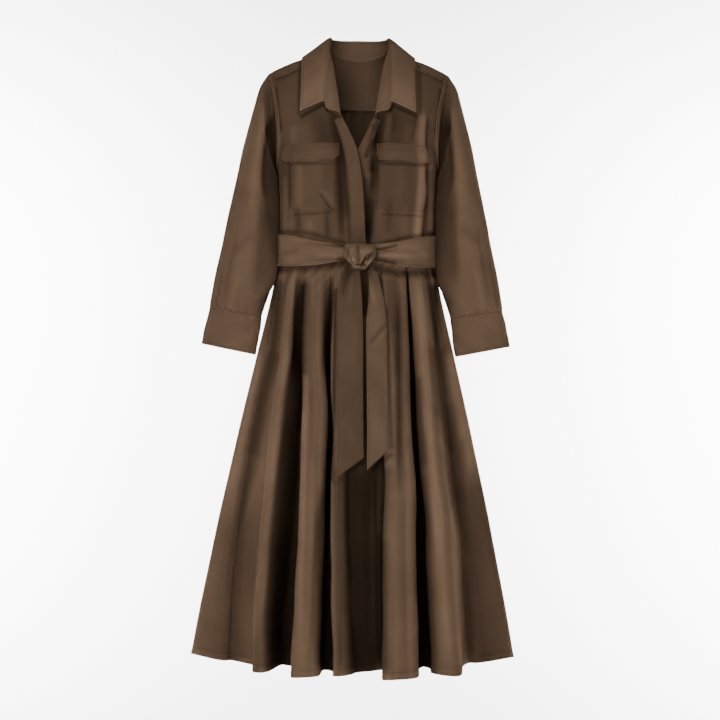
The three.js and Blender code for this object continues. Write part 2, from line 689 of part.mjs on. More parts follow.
const LYING_OPEN = { from: 0.5, to: 0.7 };      // where the stand turns to lie on the fronts
const STAND_BULGE = { from: 0.6, to: 0.9, deep: 3 };
const FALL_START = { up: 1.8, along: 0.6 };     // the fall begins just over the rolled edge
const FALL_BULGE = { up: 7, out: 3, turns: 0.35 };

function collarGuide(line, at) {
  const side = Math.sign(at) || 1;
  const value = (axis) => follow(COLLAR, 'at', line + axis, Math.abs(at));
  return new THREE.Vector3(side * value('X'), value('Y'), value('Z'));
}

// The neckline, and the seam of the collar stand that sits on it
function neckSeam(at) {
  const side = Math.sign(at) || 1;
  const place = Math.abs(at);
  const yokeEnd = YOKE_NECK[YOKE_NECK.length - 1];
  let surface = yokeSurface;
  let pair;
  if (place <= yokeEnd.at) {
    const x = side * follow(YOKE_NECK, 'at', 'x', place);
    const y = follow(YOKE_NECK, 'at', 'y', place);
    const z = heightAtReach(x, Math.abs(y), y < 0 ? 'front' : 'back');
    pair = [x, Math.sign(y) * turnAtHeight(x, z)];
  } else {
    const down = (place - yokeEnd.at) / (1 - yokeEnd.at);
    const z = mix(frontSeamHeight(yokeEnd.x), BUTTON_BAND_TOP + 1, down);
    surface = frontSurface(side);
    pair = [degreesAt(side * follow(NECKLINE, 'z', 'x', z), z), z];
  }
  const { points, normals } = panelOn(surface, [[pair]], upAndOut);
  // In front the stand lies open, so its outer face is the one over the panel
  const lyingOpen = LAYER * THREE.MathUtils.smoothstep(place, LYING_OPEN.from, LYING_OPEN.to);
  const lift = WALL + COLLAR_SEAM_LIFT + lyingOpen;
  return points[0][0].addScaledVector(normals[0][0], lift);
}

function collarGrid(rows, from, to, shape) {
  const grid = [];
  for (let j = 0; j < rows; j += 1) {
    const t = j / (rows - 1);
    const row = [];
    for (let i = -COLLAR_COLUMNS; i <= COLLAR_COLUMNS; i += 1) {
      const at = i / COLLAR_COLUMNS;
      row.push(shape(from(at).lerp(to(at), t), at, t));
    }
    grid.push(row);
  }
  return grid;
}

function makeCollar() {
  const roll = (at) => collarGuide('roll', at);
  const edge = (at) => collarGuide('edge', at);
  const standGrid = collarGrid(4, neckSeam, roll, (point, at, t) => {
    const inFront = THREE.MathUtils.smoothstep(Math.abs(at), STAND_BULGE.from, STAND_BULGE.to);
    point.y -= STAND_BULGE.deep * Math.sin(Math.PI * t) * inFront;
    return point;
  });
  const fallStart = (at) => {
    const start = roll(at);
    const along = edge(at).sub(start).normalize();
    start.z += SEAM_GAP + (1 - Math.abs(at)) * FALL_START.up;
    return start.addScaledVector(along, FALL_START.along);
  };
  const fallGrid = collarGrid(6, fallStart, edge, (point, at, t) => {
    const bulge = Math.sin(Math.PI * Math.sqrt(t));
    point.z += FALL_BULGE.up * bulge * (1 - Math.abs(at));
    point.y += Math.sign(FALL_BULGE.turns - Math.abs(at)) * FALL_BULGE.out * bulge;
    return point;
  });
  const outOfNeck = (point) => new THREE.Vector3(0, point.y > 0 ? 1 : 0, 0);
  return [
    layer('collar_stand', standGrid, 0, LAYER, outOfNeck, false, COLOURS.cloth_light),
    layer('collar_fall', fallGrid, 0, LAYER, upAndOut, false, COLOURS.cloth_light),
  ];
}

const SLEEVE_COLUMNS = 22;
const ARMHOLE_GAP = 3 * SEAM_GAP;
// The sleeve's middle line, sideways at the shoulder and at the cuff's depth
const SLEEVE_AXIS = { top: 200, low: 255, depth: 560 };
const CUFF_MIDDLE = { x: 258, flatness: 2 };

function sleeveRing(ring, side, forward) {
  const points = [];
  for (let i = 0; i < SLEEVE_COLUMNS; i += 1) {
    const turn = (2 * Math.PI * i) / SLEEVE_COLUMNS;
    const up = Math.cos(turn);
    const x = (ring.outX + ring.inX) / 2 + up * (ring.outX - ring.inX) / 2;
    const z = (ring.outZ + ring.inZ) / 2 + up * (ring.outZ - ring.inZ) / 2;
    const y = -ring.deep * Math.sin(turn) - forward;
    points.push(new THREE.Vector3(side * x, y, z));
  }
  return points;
}

function armholeRing(side) {
  const points = [];
  for (let i = 0; i < SLEEVE_COLUMNS; i += 1) {
    const point = armholePoint((2 * Math.PI * i) / SLEEVE_COLUMNS);
    const underarm = (1 - Math.cos((2 * Math.PI * i) / SLEEVE_COLUMNS)) / 2;
    point.x = side * (point.x + WALL + ARMHOLE_GAP + underarm);
    points.push(point);
  }
  return points;
}

function makeSleeve(name, side) {
  const last = SLEEVE.length - 1;
  const grid = SLEEVE.map((ring, k) => {
    if (k === 0) return armholeRing(side);
    return sleeveRing(ring, side, CUFF_FORWARD * (k / last) ** 2);
  });
  const centre = (point) => {
    const down = THREE.MathUtils.clamp(-point.z / SLEEVE_AXIS.depth, 0, 1);
    const axisX = side * mix(SLEEVE_AXIS.top, SLEEVE_AXIS.low, down);
    return new THREE.Vector3(point.x - axisX, point.y, 0);
  };
  return layer(name, grid, 0, WALL, centre, true);
}

function makeCuff(name, side) {
  const grid = CUFF.map((ring) => sleeveRing(ring, side, CUFF_FORWARD));
  const centre = (point) => new THREE.Vector3(
    point.x - side * CUFF_MIDDLE.x,
    (point.y + CUFF_FORWARD) * CUFF_MIDDLE.flatness,
    0,
  );
  return layer(name, grid, 0, WALL, centre, true, COLOURS.cloth_light);
}

const skirtHalf = (z) => follow(SKIRT, 'z', 'half', z);

// Place of a fold line at a height. Its share of the half width runs smoothly from waist to hem.
function foldX(fold, z) {
  const rows = [
    { z: HEM_Z, share: fold.hem / skirtHalf(HEM_Z) },
    { z: SKIRT_MIDDLE_Z, share: fold.middle / skirtHalf(SKIRT_MIDDLE_Z) },
    { z: WAIST_Z, share: fold.waist / skirtHalf(WAIST_Z) },
  ];
  return follow(rows, 'z', 'share', z) * skirtHalf(z);
}

// Plan of one half of the skirt at a height, from side to side
function skirtPlan(folds, face, z) {
  const half = skirtHalf(z);
  const reach = follow(SKIRT, 'z', face, z);
  const open = follow(SKIRT, 'z', 'fold', z);
  const hem = SKIRT[0];
  const down = (WAIST_Z - z) / (WAIST_Z - HEM_Z);
  const outwards = face === 'front' ? -1 : 1;
  const start = Math.sign(folds[0].hem);
  const points = [new THREE.Vector3(start * half, 0, z)];
  for (const fold of folds) {
    const wide = mix(fold.halfWaist, fold.half, down);
    for (const [step, out] of [[start, fold.left], [0, fold.crown], [-start, fold.right]]) {
      const x = foldX(fold, z) + step * wide;
      const hemX = fold.hem + step * fold.half;
      const extra = out - hem[face] * roundness(hemX / hem.half);
      const y = Math.max(reach * roundness(x / half) + extra * open, (half - Math.abs(x)) / 2);
      points.push(new THREE.Vector3(x, outwards * y, z));
    }
  }
  points.push(new THREE.Vector3(-start * half, 0, z));
  return points;
}

function skirtRow(folds, face, z) {
  const points = skirtPlan(folds, face, z);
  const curve = new THREE.CatmullRomCurve3(points, false, 'centripetal');
  const outwards = face === 'front' ? -1 : 1;
  return curve.getPoints((points.length - 1) * SKIRT_STEPS).map((point) => {
    const y = Math.max(outwards * point.y, 0) + SEAM_GAP / 2;
    return new THREE.Vector3(point.x, outwards * y, z);
  });
}

const SKIRT_ROWS = [-1250, -1130, -990, -850, -720, -610, -520, -462, -437, -400 - SEAM_GAP / 2];

function makeSkirt(name, folds, face) {
  const grid = SKIRT_ROWS.map((z) => skirtRow(folds, face, z));
  return layer(name, grid, 0, WALL, fromAxis);
}

const BELT_COLUMNS = 48;
const BELT_ROWS = 4;

function makeBeltBand() {
  const grid = [];
  for (let j = 0; j < BELT_ROWS; j += 1) {
    const t = j / (BELT_ROWS - 1);
    const row = [];
    for (let i = 0; i < BELT_COLUMNS; i += 1) {
      const turn = (2 * Math.PI * i) / BELT_COLUMNS;
      const across = Math.sin(turn);
      const front = Math.cos(turn) > 0;
      const place = front ? Math.abs(across) * WAIST_HALF : WAIST_HALF;
      const z = mix(follow(BELT, 'x', 'bottom', place), follow(BELT, 'x', 'top', place), t);
      const level = Math.max(z, WAIST_Z);
      const half = halfWidth(level) + BELT_OUT.side;
      const out = mix(BELT_OUT.bottom, BELT_OUT.top, t);
      const reach = follow(BODICE, 'z', front ? 'front' : 'back', level) + out;
      const section = sectionAt(Math.asin(Math.abs(across)));
      const y = (front ? -1 : 1) * reach * section.deep;
      row.push(new THREE.Vector3(Math.sign(across) * half * section.across, y, z));
    }
    grid.push(row);
  }
  return layer('belt_band', grid, 0, BELT_THICK, fromAxis, true, COLOURS.cloth_light);
}

const KNOT_RINGS = 9;
const KNOT_SIDES = 18;
const KNOT_SHAPE = { square: 0.75, widerOnTop: 0.14, pinch: 0.05, folds: 3, twist: 4 };

// The knot: a rounded lump, wider on top, pinched by three folds
function makeKnot() {
  const positions = [];
  const faces = [];
  const place = (tilt, turn) => {
    const up = Math.sin(tilt);
    const flat = Math.cos(tilt) ** KNOT_SHAPE.square;
    const pinch = 1 + KNOT_SHAPE.pinch * Math.cos(KNOT_SHAPE.folds * turn + KNOT_SHAPE.twist * up);
    const wide = KNOT.halfWide * (1 + KNOT_SHAPE.widerOnTop * up) * pinch;
    return [
      KNOT.x + wide * flat * Math.cos(turn),
      KNOT.y - KNOT.halfDeep * flat * Math.sin(turn) * pinch,
      KNOT.z + KNOT.halfHigh * up,
    ];
  };
  positions.push(...place(-Math.PI / 2, 0));
  for (let j = 1; j < KNOT_RINGS; j += 1) {
    const tilt = -Math.PI / 2 + (Math.PI * j) / KNOT_RINGS;
    for (let i = 0; i < KNOT_SIDES; i += 1) positions.push(...place(tilt, (2 * Math.PI * i) / KNOT_SIDES));
  }
  positions.push(...place(Math.PI / 2, 0));
  const id = (j, i) => 1 + (j - 1) * KNOT_SIDES + (i % KNOT_SIDES);
  const top = 1 + (KNOT_RINGS - 1) * KNOT_SIDES;
  for (let i = 0; i < KNOT_SIDES; i += 1) {
    faces.push(0, id(1, i + 1), id(1, i));
    for (let j = 1; j < KNOT_RINGS - 1; j += 1) {
      faces.push(id(j, i), id(j, i + 1), id(j + 1, i + 1));
      faces.push(id(j, i), id(j + 1, i + 1), id(j + 1, i));
    }
    faces.push(top, id(KNOT_RINGS - 1, i), id(KNOT_RINGS - 1, i + 1));
  }
  const geometry = new THREE.BufferGeometry();
  geometry.setAttribute('position', new THREE.Float32BufferAttribute(positions, 3));
  geometry.setIndex(signedVolume(positions, faces) < 0 ? faces.reverse() : faces);
  geometry.computeVertexNormals();
  return cloth('belt_knot', geometry, COLOURS.cloth_light);
}

const TAIL_ROWS = 14;
const TAIL_COLUMNS = 5;
const TAIL_FLATTENS = 0.6;      // share of a tail's bow that is gone at its tip

// One tail of the belt. The end is cut on a slant, longer at the left.
function makeTail(name, table, bow) {
  const top = table[0].z;
  const tip = table[table.length - 1].z;
  const grid = [];
  for (let j = 0; j < TAIL_ROWS; j += 1) {
    const t = j / (TAIL_ROWS - 1);
    const row = [];
    for (let i = 0; i < TAIL_COLUMNS; i += 1) {
      const s = i / (TAIL_COLUMNS - 1);
      const z = mix(top, tip + TAIL_SLANT * s, t);
      const x = mix(follow(table, 'z', 'left', z), follow(table, 'z', 'right', z), s);
      const y = -follow(table, 'z', 'out', z) - bow * Math.sin(Math.PI * s) * (1 - TAIL_FLATTENS * t);
      row.push(new THREE.Vector3(x, y, z));
    }
    grid.push(row);
  }
  return layer(name, grid, 0, TAIL_THICK, forwards);
}

const dress = new THREE.Group();
dress.add(makeYoke());
dress.add(...makeFronts());
dress.add(makeBack());
dress.add(...makeCollar());
for (const [word, side] of [['right', -1], ['left', 1]]) {
  dress.add(makePocket(`pocket_${word}`, side));
  dress.add(makeFlap(`flap_${word}`, side));
  dress.add(makeSleeve(`sleeve_${word}`, side));
  dress.add(makeCuff(`cuff_${word}`, side));
}
dress.add(makeSkirt('skirt_front', SKIRT_FRONT_FOLDS, 'front'));
dress.add(makeSkirt('skirt_back', SKIRT_BACK_FOLDS, 'back'));
dress.add(makeBeltBand());
dress.add(makeKnot());
dress.add(makeTail('belt_tail_right', TAIL_RIGHT, 6));
dress.add(makeTail('belt_tail_left', TAIL_LEFT, 4));

export default dress;
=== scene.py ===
# Looks of the shirt dress. Each cloth piece is a thin shell on the form of its solid.
import math

import bpy
import numpy as np
from mathutils import Matrix


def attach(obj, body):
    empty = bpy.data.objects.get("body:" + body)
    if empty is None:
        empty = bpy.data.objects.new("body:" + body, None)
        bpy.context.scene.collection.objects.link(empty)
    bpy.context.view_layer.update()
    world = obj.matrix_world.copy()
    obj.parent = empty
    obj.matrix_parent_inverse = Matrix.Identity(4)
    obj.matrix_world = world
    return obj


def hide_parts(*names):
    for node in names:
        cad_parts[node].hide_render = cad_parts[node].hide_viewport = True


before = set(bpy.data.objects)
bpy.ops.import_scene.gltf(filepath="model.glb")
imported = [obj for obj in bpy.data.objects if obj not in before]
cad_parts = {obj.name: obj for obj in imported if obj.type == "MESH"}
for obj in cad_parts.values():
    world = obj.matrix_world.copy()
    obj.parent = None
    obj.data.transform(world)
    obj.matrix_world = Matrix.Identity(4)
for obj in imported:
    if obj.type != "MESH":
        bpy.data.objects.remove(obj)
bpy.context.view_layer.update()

MM = 0.001
scene = bpy.context.scene

# Camera: level, 3 m in front, rolled a little as the garment hangs a little askew in the photo
CAMERA_PLACE = (0.0095, -3.0, -0.6276)
CAMERA_LENS = 71.2
CAMERA_ROLL = math.radians(0.6)


def add_camera():
    data = bpy.data.cameras.new("camera")
    data.lens = CAMERA_LENS
    data.sensor_width = 36.0
    camera = bpy.data.objects.new("camera", data)
    scene.collection.objects.link(camera)
    upright = Matrix.Rotation(math.pi / 2, 4, "X")
    camera.matrix_world = Matrix.Translation(CAMERA_PLACE) @ upright @ Matrix.Rotation(CAMERA_ROLL, 4, "Z")
    scene.camera = camera


add_camera()


def table(names, *rows):
    values = np.array(rows, float)
    return {key: values[:, k] for k, key in enumerate(names.split())}


# Driving dimensions, in millimetres
WALL = 1.6
LAYER = 1.3
SEAM_GAP = 0.3
WAIST_Z = -400.0
HEM_Z = -1250.0
WAIST_HALF = 162.0
SECTION_POWER = 2.3
SHOULDER_ROUND = 110.0
YOKE_BACK_Z = -78.0
PATCH_GAP = 0.7
SEAM_INNER = 60.0
SEAM_OUTER = 184.0
BAND_TOP_Z = -127.0
V_POINT = -200.0

BODICE = table(
    "z half front back",
    (-400, 162, 90, 82), (-330, 164, 99, 88), (-232, 168, 112, 95),
    (-150, 184, 105, 98), (-90, 192, 98, 96), (40, 200, 90, 90),
)
SHOULDER = table("x z", (0, 30), (40, 27), (64, 20), (114, 3), (145, -8), (176, -22), (189, -30))
NECKLINE = table("z x", (-127, 35), (-90, 40), (-55, 46), (-20, 52), (5, 58), (20, 64))
YOKE_NECK = table(
    "at x y",
    (0, 0, 50), (0.12, 24, 46), (0.22, 42, 37), (0.31, 54, 24),
    (0.4, 60, 4), (0.47, 60.5, -22), (0.53, 60, -48),
)
YOKE_FRONT_SEAM = table("x y", (60, 48), (119, 48), (150, 41), (168, 31), (184, 18))
UPPER_EDGE = table("z x", (-400, 19), (-320, 14), (-264, 10), (-200, -1), (-160, -18), (-127, -35))
UNDER_EDGE = table("z x", (-400, -13), (-264, -11), (-215, -5), (-200, 1.5), (-160, 20), (-127, 35))
UPPER_BAND = table("z wide", (-400, 29), (-200, 25), (-127, 16))
UNDER_BAND = table("z wide", (-400, 22), (-200, 21), (-127, 14))
FRONT_FOLDS = table(
    "x z lean wide long deep",
    (-33, -230, -0.13, 8, 120, 3), (38, -250, 0.12, 9, 120, 4), (-90, -372, 0, 13, 34, 3),
    (-128, -372, 0, 11, 34, 3), (92, -372, 0, 13, 34, 3), (132, -372, 0, 11, 34, 3),
)
FLAP = {"inner": 37, "outer": 151, "top": -187, "bottom": -223, "chamfer": 12}
POCKET = {"inner": 44, "outer": 137, "top": -215, "bottom": -325, "chamfer": 14}
COLLAR = table(
    "at rollX rollY rollZ edgeX edgeY edgeZ",
    (0, 0, 66, 55, 0, 88, 0), (0.2, 36, 57, 54, 53, 79, -2), (0.35, 57, 26, 50, 97, 53, -1),
    (0.5, 62, -6, 46, 117, 3, 7), (0.65, 66, -55, 14, 117, -46, -9),
    (0.82, 68, -98, -44, 116, -88, -64), (1, 68, -106, -101, 118, -101, -122),
)
SLEEVE = table(
    "k outX outZ inX inZ deep",
    (0, 189, -31, 168.3, -232, 0), (1, 204, -54, 172, -250, 60), (2, 214, -90, 174, -275, 65),
    (3, 226, -135, 174.5, -300, 66), (4, 238, -182, 174.5, -330, 64), (5, 249, -232, 174, -362, 60),
    (6, 260, -283, 174, -400, 56), (7, 271, -335, 177, -440, 51), (8, 282, -392, 183, -475, 47),
    (9, 295, -452, 190.5, -508, 42), (10, 304, -506, 197, -529, 34), (11, 305, -519.3, 199, -537.3, 28),
)
CUFF = table(
    "k outX outZ inX inZ deep",
    (0, 305, -520.5, 199, -538.5, 27), (1, 311, -546, 202, -565, 26),
    (2, 317, -572, 206, -592, 25), (3, 322, -597, 211, -619, 24),
)
ARMHOLE_HOLLOW = 13.0
CUFF_FORWARD = 14.0
SKIRT = table(
    "z half front back fold",
    (-1250, 339, 152, 165, 1), (-1150, 321, 145, 156, 0.95), (-1050, 301, 138, 147, 0.89),
    (-950, 281, 131, 138, 0.82), (-850, 259, 124, 128, 0.74), (-750, 237, 117, 119, 0.64),
    (-660, 216, 110, 110, 0.53), (-580, 197, 104, 102, 0.42), (-520, 182.5, 99, 95, 0.31),
    (-470, 172, 96, 90, 0.19), (-437, 164.5, 93, 85.5, 0.05), (-400, 162, 90, 82, 0.02),
)
SKIRT_MIDDLE_Z = -840.0
# under is how far the cloth runs back beneath a fold's first side, so that its edge stands crisp
FOLD_COLUMNS = "waist middle hem halfWaist half left crown right under"
SKIRT_FRONT_FOLDS = table(
    FOLD_COLUMNS,
    (-149, -218, -256, 3, 14, 62, 58, 68, 0),
    (-132, -166, -186, 5, 13, 166, 176, 166, 3), (-113, -115, -136, 4, 9, 98, 86, 86, 0),
    (-86, -82, -93, 17, 24, 216, 215, 202, 12), (-52, -49, -51, 3, 7, 146, 126, 142, 0),
    (-38, -34, -18, 5, 16, 200, 198, 184, 6), (14, 18, 34, 34, 26, 90, 84, 92, 0),
    (76, 86, 94, 21, 32, 228, 225, 208, 14), (103, 126, 146, 2, 10, 122, 104, 110, 0),
    (122, 155, 186, 15, 25, 160, 184, 188, 2), (149, 203, 243, 3, 16, 88, 62, 62, 0),
)
SKIRT_BACK_FOLDS = table(
    FOLD_COLUMNS,
    (154, 228, 282, 3, 20, 60, 78, 96, 0), (136, 178, 214, 5, 17, 168, 186, 170, 4),
    (108, 134, 156, 6, 15, 112, 98, 108, 0), (76, 88, 98, 10, 22, 202, 218, 200, 9),
    (36, 40, 44, 8, 14, 128, 112, 128, 0), (-4, -6, -8, 12, 20, 206, 216, 202, 6),
    (-50, -58, -64, 9, 15, 136, 116, 124, 0), (-90, -108, -122, 9, 21, 198, 212, 190, 8),
    (-122, -158, -184, 5, 15, 114, 96, 102, 0), (-142, -200, -236, 4, 16, 150, 152, 128, 4),
    (-156, -240, -298, 2, 14, 66, 54, 40, 0),
)
SKIRT_FRONT_CREASES = table(
    "x0 z0 x1 z1 wide deep",
    (88, -470, 93, -880, 8, -7.0), (-128, -440, -138, -650, 4, 3.0), (-132, -550, -166, -880, 8, 4.5),
    (-152, -740, -190, -1180, 10, 3.4), (-284, -760, -300, -1180, 40, 2.5), (258, -820, 284, -1200, 26, 2.5),
    (-90, -500, -82, -820, 6, -2.0), (126, -430, 148, -780, 9, 5.0), (138, -610, 172, -1010, 9, 5.0),
    (160, -850, 190, -1215, 12, 4.0), (-99, -460, -98, -860, 5, 2.8), (-98, -700, -102, -1240, 6, 2.8),
    (72, -600, 74, -1240, 8, 2.4), (98, -880, 106, -1240, 8, -2.0), (-70, -880, -78, -1220, 6, -3.0),
    (38, -860, 42, -1230, 6, 3.0), (-36, -500, -35, -920, 4, 2.0), (-60, -460, -64, -660, 5, -2.5),
)
SKIRT_BACK_CREASES = table(
    "x0 z0 x1 z1 wide deep",
    (-112, -470, -120, -840, 8, -5.0), (84, -480, 92, -900, 8, -5.0), (-6, -520, 4, -900, 9, -4.0),
    (250, -800, 290, -1170, 22, 3.0), (-262, -790, -286, -1180, 22, -3.0), (170, -700, 196, -1100, 9, -2.0),
)
BELT = table("x top bottom", (0, -394, -421), (30, -391, -427), (70, -385, -434), (120, -374, -436), (162, -367, -433))
BELT_OUT = {"top": 5.5, "bottom": 9.5, "side": 6.5}
BELT_THICK = 2.0
KNOT = {"x": 8, "y": -118.8, "z": -419, "half_wide": 32, "half_high": 27, "half_deep": 17}
TAIL_THICK = 2.0
TAIL_RIGHT = table(
    "z left right out",
    (-446.6, -13, 6, 117), (-462, -25, 8, 122), (-482, -33, 10, 126), (-506, -37, 12, 130), (-580, -37, 15, 139),
    (-680, -36, 16, 150), (-780, -35, 18, 160), (-862, -34, 20, 167),
)
TAIL_LEFT = table(
    "z left right out",
    (-446.6, 26, 38, 117), (-470, 28, 47, 125), (-510, 26, 56, 134), (-550, 22, 61, 141),
    (-640, 23, 64, 156), (-740, 25, 66, 171), (-845, 26, 68, 186),
)
TAIL_SLANT = 40.0

# Creases placed one by one on the photo: ends, half width, and height (negative is a trough)
CREASE_COLUMNS = "x0 z0 x1 z1 wide deep"
FRONT_CREASES = table(
    CREASE_COLUMNS,
    (-52, -118, -32, -236, 12, -5.0), (-36, -218, -30, -385, 8, -6.5),
    (-117, -215, -116, -318, 9, 3.0), (-126, -318, -124, -366, 6, -2.5),
    (-95, -336, -95, -373, 7, 2.2), (-59, -318, -58, -380, 8, -3.5),
    (-78, -286, -48, -327, 4.5, -4.0), (-70, -280, -41, -319, 5, 1.8),
    (-145, -229, -136, -312, 8, -2.0), (-64, -228, -63, -290, 7, -1.4),
    (-106, -120, -104, -190, 14, 1.2), (-70, -130, -66, -190, 9, -1.0),
    (40, -100, 44, -217, 9, -4.5), (64, -125, 56, -186, 7, 2.2), (75, -118, 74, -165, 6, -2.2),
    (134, -112, 129, -215, 7, 5.5), (129, -180, 131, -300, 7, 5.5), (131, -265, 125, -392, 8, 5.5),
    (122, -124, 112, -182, 5, -2.4), (146, -130, 141, -210, 6, -3.0),
    (149, -224, 149, -285, 8, -3.0), (149, -285, 140, -374, 8, -3.0),
    (40, -212, 30, -290, 8, -7.5), (30, -284, 22, -388, 8, -8.0),
    (66, -290, 67, -376, 9, -2.6), (96, -305, 98, -380, 9, 1.4), (88, -225, 90, -300, 12, 1.0),
)
# Painted shadows and highlights along contact lines: ends, half width, and how much they darken the colour (negative)
# or lighten it
UPPER_SHADOWS = table(
    CREASE_COLUMNS,
    (-113, -131, -71, -108, 5, -1.1), (-68, -108, -63, -119, 4, -1.5), (-104, -136, -48, -137, 16, -0.35),
    (-120, -16, -120, -124, 4, -0.6), (-62, -121, -36, -133, 4, -0.9), (-117, -27, -168, -46, 2.5, -0.8),
    (119, -127, 74, -110, 5, -1.0), (71, -108, 66, -120, 4, -1.4), (106, -136, 50, -137, 16, -0.35),
    (124, -16, 126, -120, 4, -0.5), (64, -120, 40, -130, 4, -0.8), (122, -27, 174, -46, 2.5, -0.7),
    (-178, -62, -166, -150, 3.4, 0.35), (-170, -66, -158, -152, 3.4, -0.55), (-160, -166, -159, -392, 4, 0.30),
    (178, -62, 168, -150, 3.4, 0.30), (170, -66, 160, -152, 3.4, -0.55), (160, -170, 158, -392, 4, 0.22),
    (-148, -219, -136, -228, 2.6, -0.6), (-134, -228, -46, -230, 2.6, -0.6), (-42, -228, -33, -217, 2.6, -0.6),
    (42, -217, 54, -228, 2.6, -0.6), (56, -229, 134, -228, 2.6, -0.6), (136, -227, 150, -217, 2.6, -0.6),
    (-52, -139, -24, -313, 24, -0.5), (-83, -135, -60, -198, 26, -0.55), (47, -134, 41, -180, 15, -1.0),
    (80, -131, 74, -184, 22, -0.5), (130, -135, 129, -228, 9, 0.25), (129, -228, 121, -374, 8, 0.5),
    (151, -199, 153, -354, 6, 0.55), (-132, -158, -129, -223, 9, 0.25), (-149, -255, -148, -381, 6, 0.25),
    (-135, -385, -46, -388, 6, -0.2), (-65, -313, -60, -376, 5, -0.25), (-118, -320, -115, -377, 5, -0.25),
    (-139, -236, -138, -314, 2.6, -0.35), (-128, -330, -54, -329, 2.6, -0.4), (-41, -236, -41, -318, 2.6, -0.35),
    (41, -236, 41, -318, 2.6, -0.35), (52, -330, 128, -330, 2.6, -0.35), (140, -236, 139, -314, 2.6, -0.35),
    (-162, -362, -92, -368, 4, -0.5), (-94, -368, -24, -390, 4, -0.6), (36, -394, 90, -378, 4, -0.6),
    (86, -378, 162, -362, 4, -0.5),
)
OVER_PLACKET = table(CREASE_COLUMNS, (-48, -132, -28, -218, 4, -0.4), (-28, -214, -13, -388, 4, -0.4))
UNDER_PLACKET = table(
    CREASE_COLUMNS,
    (-1, -206, 15, -268, 5, -1.0), (14, -262, 24, -394, 6, -1.2), (47, -128, 30, -178, 3, 0.3),
    (35, -152, 28, -241, 6, -0.8),
    (43, -130, 24, -182, 2.4, -0.6), (29, -180, 18, -214, 3.4, -0.8),
)
SKIRT_SHADOWS = table(
    CREASE_COLUMNS,
    (-164, -440, -82, -438, 9, -0.9), (-86, -438, -18, -428, 9, -1.1), (-20, -430, -14, -450, 9, -0.9),
    (40, -438, 82, -451, 9, -1.0), (78, -451, 160, -446, 9, -0.9), (-41, -486, -42, -866, 4, -0.8),
    (62, -520, 73, -800, 4, -0.7), (-38, -876, 18, -834, 6, -0.7), (28, -862, 70, -816, 6, -0.7),
    (-162, -476, -169, -619, 13, -0.85), (-169, -619, -190, -711, 15, -1.0),
    (-190, -711, -210, -821, 15, -0.95), (-210, -821, -250, -1030, 15, -0.7),
    (159, -479, 168, -610, 10, -1.1), (168, -610, 182, -727, 15, -1.25), (182, -727, 201, -811, 19, -1.2),
    (201, -811, 219, -916, 25, -1.0), (219, -916, 242, -1025, 24, -0.9),
    (242, -1025, 246, -1220, 24, -0.85), (-247, -1000, -254, -1245, 85, -0.55),
    (265, -906, 285, -1239, 56, -0.9), (8, -873, 12, -1222, 34, -1.0), (-34, -849, -22, -1223, 9, -0.6),
    (-49, -820, -65, -949, 9, -1.0), (-65, -949, -62, -1223, 9, -1.0), (64, -848, 57, -987, 12, -0.6),
    (57, -987, 59, -1222, 13, -1.0), (71, -472, 78, -566, 14, -0.5), (78, -566, 85, -647, 10, -0.35),
    (-106, -478, -106, -653, 9, -1.3), (-106, -653, -112, -770, 7, -0.8), (132, -667, 142, -832, 8, -0.35),
    (18, -431, 23, -530, 9, -1.2),
)
KNOT_SHADOWS = table(
    CREASE_COLUMNS,
    (21, 4, 14, -6, 3.0, -1.0), (12, -3, 6, -14, 2.2, -1.2), (6, -12, 2, -19, 2.4, -0.9), (16, 1, 8, -13, 1.2, 0.5),
    (24, -2, 14, -18, 1.8, 0.3), (-16, -4, -14, -8, 2.2, 0.45), (-5, 21, -4, -12, 2.4, -0.35),
    (-8, -17, 10, -18, 1.5, -0.9), (-26, 16, -25, 0, 3, -0.4), (27, 18, 27, 2, 3, -0.3), (-9, -25, 14, -25, 3, -0.5),
)
BELT_SHADOWS = table(
    CREASE_COLUMNS,
    (-24, -396, -46, -388, 2.6, -0.9), (-22, -400, -40, -394, 2.0, 0.3), (40, -402, 80, -393, 2.2, -0.9),
    (41, -407, 76, -399, 2.2, 0.35), (42, -423, 76, -431, 5, -0.8), (-20, -424, -34, -423, 5, -0.9),
    (39, -408, 42, -428, 3.4, -0.8), (-23, -400, -21, -424, 3.0, -0.6), (64, -412, 140, -408, 6, 0.12),
)
# The same on the back, which the photo doesn't show
BACK_CREASES = table(
    CREASE_COLUMNS,
    (-128, -140, -118, -330, 12, -3.0), (-92, -180, -88, -390, 9, 2.5), (-60, -210, -52, -395, 10, -3.0),
    (-20, -230, -24, -396, 9, 2.4), (14, -200, 18, -392, 9, -2.6), (52, -190, 50, -390, 10, 2.6),
    (86, -170, 82, -380, 9, -3.0), (122, -150, 116, -340, 12, -2.4),
)
# On the sleeves: turn in degrees (0 outside, 90 front, 180 inside) and ring number at each end
SLEEVE_COLUMNS_CREASE = "turn0 k0 turn1 k1 wide deep"
SLEEVE_CREASES = table(
    SLEEVE_COLUMNS_CREASE,
    (92, 30, 112, 250, 12, -5.0), (112, 260, 128, 520, 14, -4.0), (160, 60, 160, 560, 26, -3.0),
    (70, 40, 84, 330, 16, 2.2), (60, 420, 62, 590, 8, -1.8), (84, 500, 80, 640, 6, 1.6),
    (44, 520, 42, 640, 6, -1.6), (262, 40, 250, 300, 14, -4.0), (244, 300, 226, 540, 18, -3.0),
    (292, 60, 284, 340, 18, 2.0), (300, 430, 296, 640, 8, -1.8), (320, 520, 322, 640, 7, 1.4),
    (20, 60, 16, 300, 22, 1.2), (100, 380, 64, 470, 8, -1.4),
)


def smoothstep(value, low, high):
    t = np.clip((value - low) / (high - low), 0, 1)
    return t * t * (3 - 2 * t)


def mix(a, b, t):
    return a + (b - a) * t


def unit(vectors):
    return vectors / np.maximum(np.linalg.norm(vectors, axis=-1, keepdims=True), 1e-9)


